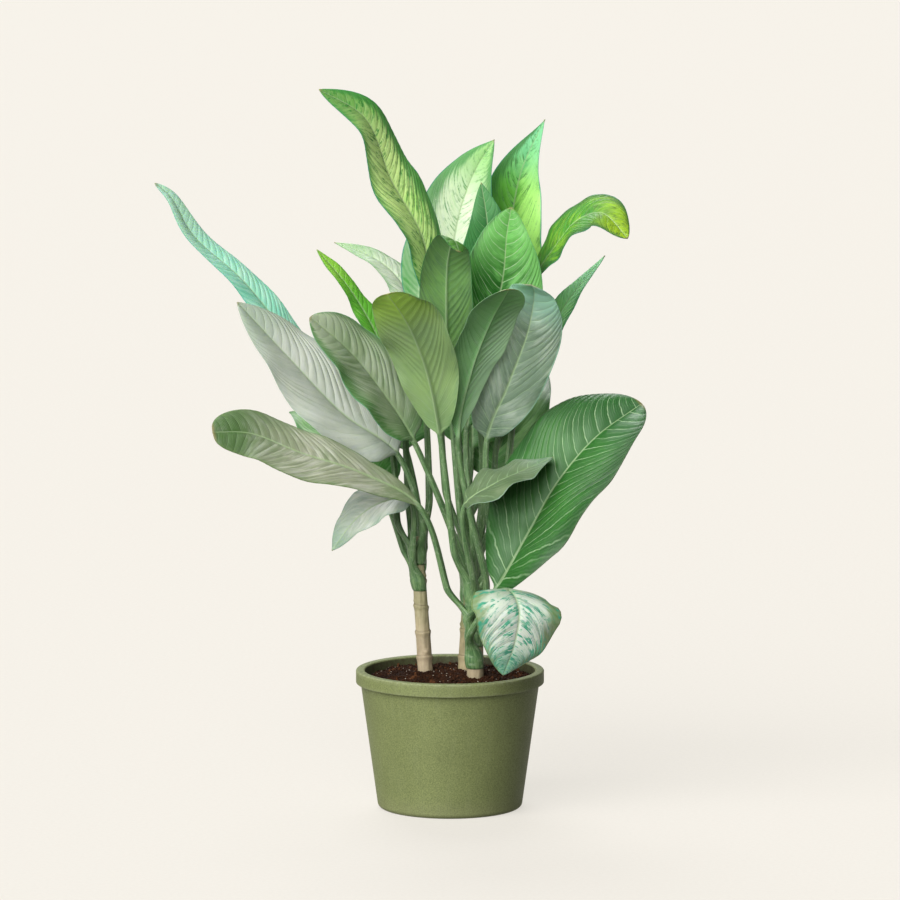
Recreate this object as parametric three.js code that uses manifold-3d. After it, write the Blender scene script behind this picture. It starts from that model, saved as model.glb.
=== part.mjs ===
// Potted dieffenbachia: a plain flowerpot filled with soil, three canes standing in it
// and twenty-five leaves, each one a solid of its own with its stalk.
// Millimetres, +Z up. The origin is the middle of the pot's flat base.

import * as THREE from 'three';
import { mergeVertices } from 'three/addons/utils/BufferGeometryUtils.js';
import Module from 'manifold-3d';

const wasm = await Module();
wasm.setup();

// ---------------------------------------------------------------- driving dimensions

const GAP = 0.3; // between pieces that touch

const POT_HEIGHT = 126;
const POT_RIM_RADIUS = 85;
const POT_BASE_RADIUS = 65;
const POT_WALL = 5.5;
const POT_FLOOR = 4;
const POT_COLLAR_HEIGHT = 12;
const POT_COLLAR_STEP = 2.6; // how far the collar stands out from the wall
const POT_BASE_ROUNDING = 5;
const POT_RIM_ROUNDING = 1.6;
const POT_SIDES = 44;
const DRAIN_HOLES = 5;
const DRAIN_HOLE_RADIUS = 5;
const DRAIN_CIRCLE_RADIUS = 38;

const SOIL_LEVEL = 118;
const SOIL_RELIEF = 1.5; // height of the crumbs' rise and fall
const SOIL_MOUND = 3; // rise towards the middle
const SOIL_RINGS = 6;
const SOIL_SIDES = 26;

const CANE_SIDES = 8;
const CANE_SCAR_SPACING = 23; // from one leaf scar to the next
const CANE_SCAR_RISE = 0.9;
const CANE_SCAR_LENGTH = 5;

const STALK_ROOT_RADIUS = 3.6;
const STALK_NECK_RADIUS = 2.5; // where the blade begins
const STALK_ROOT_DROP = 9; // how far the stalk's sheath runs down the cane
const STALK_FIRST_RISE = 18;

const BLADE_THICKNESS = 1.0;
const RIB_DEPTH = 2.4; // the midrib's height under the blade, at its neck
const BLADE_ARCH = 0.25; // how much the two halves curve down towards their edges
const WAVE_COUNT = 2.6; // waves along an edge

// ---------------------------------------------------------------- canes

// foot: the end down in the soil; top: the upper end; radii there.
const CANES = {
  front: { foot: [24, -14, 20], top: [22, -12, 206], radii: [9, 6.5], color: '#7d8a4f' },
  left: { foot: [-16, 14, 20], top: [-30, 20, 244], radii: [8, 5.5], color: '#98946f' },
  back: { foot: [10, 28, 20], top: [20, 24, 232], radii: [9, 6], color: '#74874c' },
};

// ---------------------------------------------------------------- leaves

// node: height of the leaf's seat on its cane; turn: the way it leaves the cane, seen from
// above (0 = +X, 90 = +Y); lean: how far it leans out over its first rise.
// path: where the midrib runs, from the blade's neck to its tip. width: the whole blade.
// face: the way its upper side looks at the neck (turn seen from above, then height angle).
// shape: how fast the blade widens from the neck and narrows to the tip. fold: the V along
// the midrib. wave: height of the edge's waves. All lengths in mm, all angles in degrees.
const LEAVES = [
  {
    name: 'leaf_low_heart', cane: 'front', node: 138, turn: -110, lean: 9,
    path: [[51, -94, 213], [61, -121, 199], [57, -125, 170], [47, -116, 140]],
    width: 86, face: [70, 80], shape: [0.36, 0.8], fold: 8, wave: 3, color: '#9fd8b4',
  },
  {
    name: 'leaf_broad_right', cane: 'front', node: 158, turn: -115, lean: 3,
    path: [[40, -57, 206], [71, -55, 260], [96, -49, 303], [130, -39, 342], [172, -25, 371]],
    width: 120, face: [-136, 5], shape: [0.68, 0.56], fold: 26, wave: 3, color: '#4a8543',
  },
  {
    name: 'leaf_low_left', cane: 'front', node: 172, turn: 175, lean: 12,
    path: [[-27, -32, 278], [-79, -46, 311], [-134, -56, 331], [-178, -62, 349], [-211, -76, 352]],
    width: 54, face: [-45, 25], shape: [0.8, 0.38], fold: 12, wave: 2, color: '#77875d',
  },
  {
    name: 'leaf_low_right', cane: 'front', node: 188, turn: -90, lean: 9,
    path: [[13, -66, 284], [38, -66, 303], [65, -59, 315], [92, -49, 326]],
    width: 74, face: [-170, 20], shape: [0.48, 0.88], fold: 18, wave: 3, color: '#7b9580',
  },
  {
    name: 'leaf_front_left', cane: 'front', node: 196, turn: -145, lean: 9,
    path: [[-9, -52, 346], [-21, -65, 406], [-37, -85, 449], [-55, -115, 480]],
    width: 66, face: [78, 10], shape: [0.6, 0.42], fold: 22, wave: 3, color: '#76925e',
  },
  {
    name: 'leaf_front_right', cane: 'front', node: 168, turn: -35, lean: 7,
    path: [[7, -40, 340], [18, -46, 400], [35, -64, 447], [52, -95, 482]],
    width: 58, face: [125, 5], shape: [0.9, 0.42], fold: 13, wave: 2, color: '#5a7c47',
  },
  {
    name: 'leaf_mid_left', cane: 'front', node: 182, turn: 105, lean: 5,
    path: [[-33, -12, 336], [-61, -18, 381], [-91, -30, 420], [-125, -46, 451]],
    width: 72, face: [-45, 15], shape: [0.48, 0.6], fold: 22, wave: 3, color: '#7a8d67',
  },
  {
    name: 'leaf_mid_right', cane: 'front', node: 196, turn: 15, lean: 7,
    path: [[33, -16, 337], [52, -22, 387], [70, -32, 438], [75, -50, 474], [72, -69, 483]],
    width: 70, face: [-100, 10], shape: [0.48, 0.45], fold: 22, wave: 3, color: '#8ca587',
  },
  {
    name: 'leaf_narrow_right', cane: 'back', node: 200, turn: 10, lean: 12,
    path: [[44, 44, 333], [75, 56, 388], [102, 72, 444], [141, 90, 492]],
    width: 44, face: [-145, 20], shape: [0.48, 0.88], fold: 22, wave: 2, color: '#7cae7a',
  },
  {
    name: 'leaf_centre', cane: 'back', node: 210, turn: -80, lean: 9,
    path: [[15, 10, 343], [36, 8, 425], [48, 6, 484], [51, 4, 520], [55, 2, 545]],
    width: 88, face: [-100, 0], shape: [0.8, 0.75], fold: 22, wave: 3, color: '#5a9643',
  },
  {
    name: 'leaf_centre_dark', cane: 'back', node: 222, turn: 40, lean: 7,
    path: [[25, 28, 422], [31, 28, 477], [34, 28, 522], [28, 24, 565]],
    width: 56, face: [-90, 5], shape: [0.48, 0.88], fold: 22, wave: 2, color: '#3f6e35',
  },
  {
    name: 'leaf_top_pale', cane: 'back', node: 220, turn: 115, lean: 3,
    path: [[2, 70, 417], [1, 78, 480], [9, 76, 533], [23, 66, 572], [40, 54, 601]],
    width: 100, face: [-115, 5], shape: [0.46, 0.95], fold: 22, wave: 3, color: '#bce79c',
  },
  {
    name: 'leaf_top_dark', cane: 'back', node: 222, turn: -115, lean: 9,
    path: [[0, 4, 380], [-3, -10, 445], [-2, -26, 499], [3, -46, 520], [8, -66, 512]],
    width: 50, face: [80, 10], shape: [0.48, 0.6], fold: 8, wave: 2, color: '#4b7030',
  },
  {
    name: 'leaf_tall_left', cane: 'back', node: 222, turn: 180, lean: 9,
    path: [[-16, 22, 450], [-25, 20, 515], [-53, 14, 568], [-76, 8, 624], [-117, -2, 651]],
    width: 60, face: [-40, 5], shape: [0.62, 0.76], fold: 22, wave: 3, color: '#8ab35c',
  },
  {
    name: 'leaf_top_right', cane: 'back', node: 210, turn: 70, lean: 12,
    path: [[40, 78, 425], [54, 89, 511], [65, 89, 569], [86, 81, 617]],
    width: 96, face: [-125, 10], shape: [0.48, 1.15], fold: 22, wave: 3, color: '#7db254',
  },
  {
    name: 'leaf_arched_right', cane: 'back', node: 214, turn: -10, lean: 12,
    path: [[76, 27, 474], [97, 22, 510], [115, 14, 532], [136, 6, 539], [159, -10, 518]],
    width: 60, face: [-165, 20], shape: [0.48, 0.7], fold: 20, wave: 2, color: '#93b84a',
  },
  {
    name: 'leaf_back_right', cane: 'back', node: 206, turn: 150, lean: 9,
    path: [[35, 80, 287], [53, 120, 337], [65, 170, 375], [69, 215, 390]],
    width: 84, face: [-105, 40], shape: [0.48, 0.88], fold: 22, wave: 3, color: '#6b9a58',
  },
  {
    name: 'leaf_back_centre', cane: 'back', node: 190, turn: 120, lean: 9,
    path: [[20, 90, 313], [16, 130, 391], [11, 180, 432], [9, 232, 424]],
    width: 90, face: [-85, 30], shape: [0.48, 0.88], fold: 22, wave: 3, color: '#5c8f4c',
  },
  {
    name: 'leaf_far_left', cane: 'left', node: 228, turn: -170, lean: 9,
    path: [[-59, 40, 339], [-118, 48, 388], [-187, 48, 473], [-232, 46, 515], [-252, 43, 550],
      [-266, 38, 563]],
    width: 38, face: [-45, 36], shape: [0.48, 0.6], fold: 22, wave: 2, color: '#a3cdb6',
  },
  {
    name: 'leaf_broad_left', cane: 'left', node: 228, turn: -70, lean: 9,
    path: [[-47, 8, 320], [-96, 6, 357], [-146, 2, 410], [-191, -4, 460]],
    width: 94, face: [-45, 20], shape: [0.44, 0.8], fold: 22, wave: 3, color: '#bac5b3',
  },
  {
    name: 'leaf_narrow_left', cane: 'left', node: 240, turn: 120, lean: 6,
    path: [[-45, 46, 365], [-67, 60, 423], [-93, 70, 466], [-121, 76, 499]],
    width: 28, face: [-45, 20], shape: [0.48, 0.7], fold: 22, wave: 2, color: '#66934b',
  },
  {
    name: 'leaf_arched_left', cane: 'left', node: 234, turn: 10, lean: 3,
    path: [[-24, 78, 375], [-33, 104, 431], [-44, 118, 463], [-64, 128, 482], [-86, 138, 492],
      [-106, 146, 498]],
    width: 36, face: [-65, 25], shape: [0.48, 0.88], fold: 22, wave: 2, color: '#a9c495',
  },
  {
    name: 'leaf_drooping_left', cane: 'left', node: 204, turn: -120, lean: 5,
    path: [[-36, -8, 281], [-59, -16, 281], [-83, -22, 267], [-106, -26, 238]],
    width: 52, face: [-10, 35], shape: [0.48, 0.88], fold: 22, wave: 2, color: '#b5bcaf',
  },
  {
    name: 'leaf_back_left', cane: 'left', node: 208, turn: 130, lean: 12,
    path: [[-62, 66, 279], [-96, 104, 318], [-124, 142, 338], [-142, 182, 336]],
    width: 84, face: [-60, 50], shape: [0.48, 0.88], fold: 22, wave: 3, color: '#6d9a5e',
  },
  {
    name: 'leaf_back_upper', cane: 'left', node: 222, turn: 80, lean: 9,
    path: [[-40, 80, 315], [-60, 120, 356], [-74, 165, 382], [-82, 210, 385]],
    width: 84, face: [-80, 40], shape: [0.48, 0.88], fold: 22, wave: 3, color: '#648f52',
  },
];

// Stations of a leaf's sections: along the stalk and along the blade, 0 to 1.
const STALK_STATIONS = [0, 0.1, 0.28, 0.5, 0.75];
const BLADE_STATIONS = [0, 0.045, 0.13, 0.23, 0.34, 0.45, 0.56, 0.67, 0.78, 0.88, 0.95, 1];
const ACROSS = [-1, -0.5, 0, 0.5, 1]; // points across a blade, edge to edge
const TIP_HALF_WIDTH = 0.6;
const CURVE_STEPS = 40; // fine points between two points of a path

// ---------------------------------------------------------------- solids

const radians = THREE.MathUtils.degToRad;

// A closed body through rings that have the same number of points. The second half of each
// ring is split the other way, so a blade's lower side has the same triangles as its upper.
function loft(rings) {
  const sides = rings[0].length;
  const points = rings.flat();
  const faces = [];
  for (let i = 0; i + 1 < rings.length; i += 1) {
    for (let j = 0; j < sides; j += 1) {
      const a = i * sides + j;
      const b = i * sides + (j + 1) % sides;
      if (j < sides / 2) faces.push([a, b, b + sides], [a, b + sides, a + sides]);
      else faces.push([a, b, a + sides], [b, b + sides, a + sides]);
    }
  }
  capRing(points, faces, rings[0], 0, false);
  capRing(points, faces, rings.at(-1), (rings.length - 1) * sides, true);
  return closedGeometry(points, faces);
}

function capRing(points, faces, ring, first, ahead) {
  const middle = new THREE.Vector3();
  ring.forEach((p) => middle.add(p));
  const centre = points.push(middle.divideScalar(ring.length)) - 1;
  for (let j = 0; j < ring.length; j += 1) {
    const a = first + j;
    const b = first + (j + 1) % ring.length;
    faces.push(ahead ? [a, b, centre] : [b, a, centre]);
  }
}

// Turns the faces round where they would point inwards.
function closedGeometry(points, faces) {
  const cross = new THREE.Vector3();
  const volume = faces.reduce((sum, [a, b, c]) => (
    sum + cross.crossVectors(points[b], points[c]).dot(points[a])
  ), 0);
  const turned = volume < 0 ? faces.map(([a, b, c]) => [a, c, b]) : faces;
  const geometry = new THREE.BufferGeometry();
  const numbers = points.flatMap((p) => [p.x, p.y, p.z]);
  geometry.setAttribute('position', new THREE.Float32BufferAttribute(numbers, 3));
  geometry.setIndex(turned.flat());
  return geometry;
}

function solidOf(geometry) {
  const bare = geometry.clone();
  bare.deleteAttribute('normal');
  bare.deleteAttribute('uv');
  const merged = mergeVertices(bare, 1e-4);
  const corners = [];
  const index = merged.index.array;
  for (let i = 0; i < index.length; i += 3) {
    const [a, b, c] = [index[i], index[i + 1], index[i + 2]];
    if (a !== b && b !== c && c !== a) corners.push(a, b, c);
  }
  return new wasm.Manifold(new wasm.Mesh({
    numProp: 3,
    vertProperties: new Float32Array(merged.attributes.position.array),
    triVerts: new Uint32Array(corners),
  }));
}

function geometryOf(solid) {
  const mesh = solid.getMesh();
  const geometry = new THREE.BufferGeometry();
  geometry.setAttribute('position', new THREE.BufferAttribute(mesh.vertProperties, 3));
  geometry.setIndex(new THREE.BufferAttribute(mesh.triVerts, 1));
  return geometry;
}

function named(name, geometry, color, roughness) {
  geometry.computeVertexNormals();
  const material = new THREE.MeshStandardMaterial({ color, roughness, metalness: 0 });
  const mesh = new THREE.Mesh(geometry, material);
  mesh.name = name;
  return mesh;
}

// ---------------------------------------------------------------- pot and soil

function arc(cx, cz, radius, from, to, steps) {
  return Array.from({ length: steps + 1 }, (_, i) => {
    const angle = radians(from + (to - from) * i / steps);
    return new THREE.Vector2(cx + radius * Math.cos(angle), cz + radius * Math.sin(angle));
  });
}

// Inner radius of the pot at a height above its floor.
function potInside(z) {
  const low = POT_BASE_RADIUS - POT_WALL;
  const high = POT_RIM_RADIUS - POT_COLLAR_STEP - POT_WALL;
  return low + (high - low) * z / POT_HEIGHT;
}

function potGeometry() {
  const collarBottom = POT_HEIGHT - POT_COLLAR_HEIGHT;
  const wallTop = potInside(collarBottom) + POT_WALL;
  const bend = POT_BASE_ROUNDING;
  const lip = POT_RIM_ROUNDING;
  const rimInside = potInside(POT_HEIGHT);
  const profile = [
    new THREE.Vector2(0, 0),
    ...arc(potInside(bend) + POT_WALL - bend, bend, bend, -90, 0, 4),
    new THREE.Vector2(wallTop, collarBottom - 1),
    new THREE.Vector2(POT_RIM_RADIUS - 0.8, collarBottom),
    new THREE.Vector2(POT_RIM_RADIUS, collarBottom + 1),
    ...arc(POT_RIM_RADIUS - lip, POT_HEIGHT - lip, lip, 0, 90, 3),
    ...arc(rimInside + lip, POT_HEIGHT - lip, lip, 90, 180, 3),
    new THREE.Vector2(potInside(POT_FLOOR), POT_FLOOR),
    new THREE.Vector2(0, POT_FLOOR),
  ];
  let pot = solidOf(new THREE.LatheGeometry(profile, POT_SIDES).rotateX(Math.PI / 2));
  for (let i = 0; i < DRAIN_HOLES; i += 1) {
    const angle = 2 * Math.PI * i / DRAIN_HOLES;
    const hole = new THREE.CylinderGeometry(DRAIN_HOLE_RADIUS, DRAIN_HOLE_RADIUS, 20, 12);
    hole.rotateX(Math.PI / 2);
    hole.translate(
      DRAIN_CIRCLE_RADIUS * Math.cos(angle),
      DRAIN_CIRCLE_RADIUS * Math.sin(angle),
      0,
    );
    pot = pot.subtract(solidOf(hole));
  }
  return geometryOf(pot);
}

function soilHeight(x, y, share) {
  const crumbs = Math.sin(x * 0.31 + 1.3 * Math.sin(y * 0.23)) * Math.cos(y * 0.27 + x * 0.11);
  return SOIL_LEVEL + SOIL_MOUND * (1 - share ** 2) + SOIL_RELIEF * crumbs;
}

function soilGeometry() {
  const points = [new THREE.Vector3(0, 0, soilHeight(0, 0, 0))];
  const faces = [];
  const bottom = POT_FLOOR + GAP;
  const rings = [];
  for (let i = 1; i <= SOIL_RINGS; i += 1) {
    const share = i / SOIL_RINGS;
    const radius = share * (potInside(SOIL_LEVEL) - GAP);
    rings.push({ radius, height: (x, y) => soilHeight(x, y, share) });
  }
  rings.push({ radius: potInside(bottom) - GAP, height: () => bottom });
  for (const ring of rings) {
    for (let j = 0; j < SOIL_SIDES; j += 1) {
      const angle = 2 * Math.PI * j / SOIL_SIDES;
      const x = ring.radius * Math.cos(angle);
      const y = ring.radius * Math.sin(angle);
      points.push(new THREE.Vector3(x, y, ring.height(x, y)));
    }
  }
  const under = points.push(new THREE.Vector3(0, 0, bottom)) - 1;
  const last = 1 + (rings.length - 1) * SOIL_SIDES;
  for (let j = 0; j < SOIL_SIDES; j += 1) {
    const next = (j + 1) % SOIL_SIDES;
    faces.push([0, 1 + j, 1 + next], [under, last + next, last + j]);
    for (let i = 0; i + 1 < rings.length; i += 1) {
      const a = 1 + i * SOIL_SIDES;
      const b = a + SOIL_SIDES;
      faces.push([a + j, b + j, b + next], [a + j, b + next, a + next]);
    }
  }
  let soil = solidOf(closedGeometry(points, faces));
  for (const cane of Object.values(CANES)) soil = soil.subtract(caneSolid(cane, GAP));
  return geometryOf(soil);
}

// ---------------------------------------------------------------- canes

function canePoint(cane, z) {
  const share = (z - cane.foot[2]) / (cane.top[2] - cane.foot[2]);
  return new THREE.Vector3(...cane.foot).lerp(new THREE.Vector3(...cane.top), share);
}

function caneRadius(cane, z) {
  const share = (z - cane.foot[2]) / (cane.top[2] - cane.foot[2]);
  return THREE.MathUtils.lerp(cane.radii[0], cane.radii[1], share);
}

// Rings of a cane: a swelling at each leaf scar, a rounded upper end.
function caneSections(cane) {
  const sections = [[cane.foot[2], 0]];
  const top = cane.top[2];
  for (let z = cane.foot[2] + CANE_SCAR_SPACING; z < top - 12; z += CANE_SCAR_SPACING) {
    sections.push([z - CANE_SCAR_LENGTH, 0], [z, CANE_SCAR_RISE], [z + 1.5, 0]);
  }
  sections.push([top - 5, 0], [top - 2, -1.4], [top, -3.6]);
  return sections;
}

function caneGeometry(cane, grow) {
  const rings = caneSections(cane).map(([z, rise], i, all) => {
    let height = z;
    if (i === 0) height -= grow;
    if (i === all.length - 1) height += grow;
    const centre = canePoint(cane, height);
    const radius = caneRadius(cane, z) + rise + grow;
    return Array.from({ length: CANE_SIDES }, (_, j) => {
      const angle = 2 * Math.PI * j / CANE_SIDES;
      return new THREE.Vector3(
        centre.x + radius * Math.cos(angle),
        centre.y + radius * Math.sin(angle),
        centre.z,
      );
    });
  });
  return loft(rings);
}

function caneSolid(cane, grow) {
  return solidOf(caneGeometry(cane, grow));
}

// ---------------------------------------------------------------- leaves

// Fine points along stalk and blade, even in length: the stalk's part and the blade's part.
function leafRoute(leaf) {
  const cane = CANES[leaf.cane];
  const turn = radians(leaf.turn);
  const out = new THREE.Vector3(Math.cos(turn), Math.sin(turn), 0);
  const reach = caneRadius(cane, leaf.node) + 0.55 * STALK_ROOT_RADIUS;
  const seat = canePoint(cane, leaf.node).addScaledVector(out, reach);
  const rise = seat.clone().addScaledVector(out, leaf.lean);
  rise.z += STALK_FIRST_RISE;
  const marks = [seat, rise, ...leaf.path.map((p) => new THREE.Vector3(...p))];
  const curve = new THREE.CatmullRomCurve3(marks, false, 'centripetal');
  const steps = (marks.length - 1) * CURVE_STEPS;
  const fine = Array.from({ length: steps + 1 }, (_, i) => curve.getPoint(i / steps));
  const neck = 2 * CURVE_STEPS;
  return { stalk: fine.slice(0, neck + 1), blade: fine.slice(neck), out };
}

// The point and heading at a share of a polyline's length.
function along(points, share) {
  const ends = [0];
  for (let i = 1; i < points.length; i += 1) {
    ends.push(ends[i - 1] + points[i].distanceTo(points[i - 1]));
  }
  const wanted = share * ends.at(-1);
  let i = 1;
  while (i < points.length - 1 && ends[i] < wanted) i += 1;
  const part = (wanted - ends[i - 1]) / (ends[i] - ends[i - 1]);
  const heading = points[i].clone().sub(points[i - 1]).normalize();
  return { point: points[i - 1].clone().lerp(points[i], part), heading };
}

function square(normal, heading) {
  return normal.clone().addScaledVector(heading, -normal.dot(heading)).normalize();
}

// Carries a normal along a polyline without turning it about the line.
function carried(points, normal, share) {
  let current = normal.clone();
  const count = Math.max(1, Math.round(share * (points.length - 1)));
  for (let i = 1; i <= count; i += 1) {
    current = square(current, points[i].clone().sub(points[i - 1]).normalize());
  }
  return current;
}

function halfWidth(leaf, t) {
  const [widen, narrow] = leaf.shape;
  const widest = widen / (widen + narrow);
  const full = widest ** widen * (1 - widest) ** narrow;
  return leaf.width / 2 * t ** widen * (1 - t) ** narrow / full;
}

// Height of the blade above its midrib, for a point across (-1 to 1) and along (0 to 1).
function bladeHeight(leaf, half, s, t) {
  const side = s < 0 ? 0.35 : 0;
  const wave = leaf.wave * Math.sin(2 * Math.PI * (WAVE_COUNT * t + side)) * s ** 2;
  const open = Math.min(1, 2 * half / leaf.width);
  const fold = Math.abs(s) * Math.sin(radians(leaf.fold)) - BLADE_ARCH * s ** 2;
  return half * fold + wave * open;
}

// One section of a blade: the upper side edge to edge, then the lower side back.
function bladeRing(leaf, centre, across, up, t) {
  const half = Math.max(TIP_HALF_WIDTH, halfWidth(leaf, t));
  const spread = half * Math.cos(radians(leaf.fold));
  const upper = ACROSS.map((s) => (
    centre.clone()
      .addScaledVector(across, s * spread)
      .addScaledVector(up, bladeHeight(leaf, half, s, t) + BLADE_THICKNESS / 2)
  ));
  const lower = ACROSS.map((s, i) => {
    const rib = s === 0 ? RIB_DEPTH * (1 - t) ** 1.2 : 0;
    return upper[i].clone().addScaledVector(up, -BLADE_THICKNESS - rib);
  });
  return [...upper, ...lower.reverse()];
}

// One round section of a stalk, its points in step with a blade's section.
function stalkRing(centre, across, up, radius) {
  const sides = 2 * ACROSS.length;
  return Array.from({ length: sides }, (_, i) => {
    const angle = Math.PI * (1 - (i + 0.5) / ACROSS.length);
    return centre.clone()
      .addScaledVector(across, radius * Math.cos(angle))
      .addScaledVector(up, radius * Math.sin(angle));
  });
}

function stalkRings(route, neckNormal) {
  const back = [...route.stalk].reverse();
  const rings = STALK_STATIONS.map((share) => {
    const { point, heading } = along(route.stalk, share);
    const up = square(carried(back, neckNormal, 1 - share), heading);
    const across = heading.clone().cross(up);
    const radius = THREE.MathUtils.lerp(STALK_ROOT_RADIUS, STALK_NECK_RADIUS, share);
    return stalkRing(point, across, up, radius);
  });
  const sheath = rings[0].map((p) => {
    const centre = route.stalk[0];
    const narrowed = p.clone().sub(centre).multiplyScalar(0.35).add(centre);
    narrowed.addScaledVector(route.out, -1.2);
    narrowed.z -= STALK_ROOT_DROP;
    return narrowed;
  });
  return [sheath, ...rings];
}

function leafGeometry(leaf) {
  const route = leafRoute(leaf);
  const [turn, height] = leaf.face.map(radians);
  const facing = new THREE.Vector3(
    Math.cos(height) * Math.cos(turn),
    Math.cos(height) * Math.sin(turn),
    Math.sin(height),
  );
  const neck = along(route.blade, 0);
  const neckNormal = square(facing, neck.heading);
  const blade = BLADE_STATIONS.map((t) => {
    const { point, heading } = along(route.blade, t);
    const up = square(carried(route.blade, neckNormal, t), heading);
    const across = heading.clone().cross(up);
    if (t === 0) return stalkRing(point, across, up, STALK_NECK_RADIUS);
    return bladeRing(leaf, point, across, up, t);
  });
  const solid = solidOf(loft([...stalkRings(route, neckNormal), ...blade]));
  return geometryOf(solid.subtract(caneSolid(CANES[leaf.cane], GAP)));
}

// ---------------------------------------------------------------- the plant in its pot

const plant = new THREE.Group();
plant.add(named('pot', potGeometry(), '#7d8857', 0.5));
plant.add(named('soil', soilGeometry(), '#3a2719', 0.95));
for (const [place, cane] of Object.entries(CANES)) {
  plant.add(named(`cane_${place}`, caneGeometry(cane, 0), cane.color, 0.6));
}
for (const leaf of LEAVES) {
  plant.add(named(leaf.name, leafGeometry(leaf), leaf.color, 0.5));
}

export default plant;
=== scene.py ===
"""The looks of a potted dieffenbachia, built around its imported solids.

Each leaf, cane, the pot and the soil gets a finer piece in its solid's place. Lengths in the
plant's tables are millimetres, as in the solids' source; every mesh is made in metres.
"""
import math
from collections import namedtuple

import bpy
import numpy as np
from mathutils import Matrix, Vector, noise


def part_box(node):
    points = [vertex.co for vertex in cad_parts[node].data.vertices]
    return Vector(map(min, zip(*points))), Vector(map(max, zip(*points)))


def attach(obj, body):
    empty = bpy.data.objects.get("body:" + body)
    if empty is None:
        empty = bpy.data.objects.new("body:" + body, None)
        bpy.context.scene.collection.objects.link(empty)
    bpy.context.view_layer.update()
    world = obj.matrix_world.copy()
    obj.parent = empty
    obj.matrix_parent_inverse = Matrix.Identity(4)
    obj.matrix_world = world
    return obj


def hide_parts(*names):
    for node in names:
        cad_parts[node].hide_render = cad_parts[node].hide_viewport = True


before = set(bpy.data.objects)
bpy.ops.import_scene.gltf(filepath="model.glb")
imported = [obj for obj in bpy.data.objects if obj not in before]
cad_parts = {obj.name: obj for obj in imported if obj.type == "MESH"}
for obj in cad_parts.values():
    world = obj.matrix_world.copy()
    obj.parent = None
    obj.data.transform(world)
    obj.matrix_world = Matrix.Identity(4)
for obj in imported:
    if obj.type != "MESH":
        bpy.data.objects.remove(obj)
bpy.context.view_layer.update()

MM = 0.001

# ------------------------------------------------------------------ the plant's dimensions

# foot: the end down in the soil; top: the upper end; radii there.
CANES = {
    "front": dict(foot=(24, -14, 20), top=(22, -12, 206), radii=(9, 6.5)),
    "left": dict(foot=(-16, 14, 20), top=(-30, 20, 244), radii=(8, 5.5)),
    "back": dict(foot=(10, 28, 20), top=(20, 24, 232), radii=(9, 6)),
}
SCAR_SPACING = 23
SCAR_RISE = 0.9

STALK_ROOT_RADIUS = 3.6
STALK_NECK_RADIUS = 2.5
STALK_ROOT_DROP = 9
STALK_FIRST_RISE = 18
BLADE_THICKNESS = 0.8
EDGE_THICKNESS = 0.3
RIB_DEPTH = 2.4
BLADE_ARCH = 0.25
WAVE_COUNT = 2.6
TIP_HALF_WIDTH = 0.6

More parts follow.
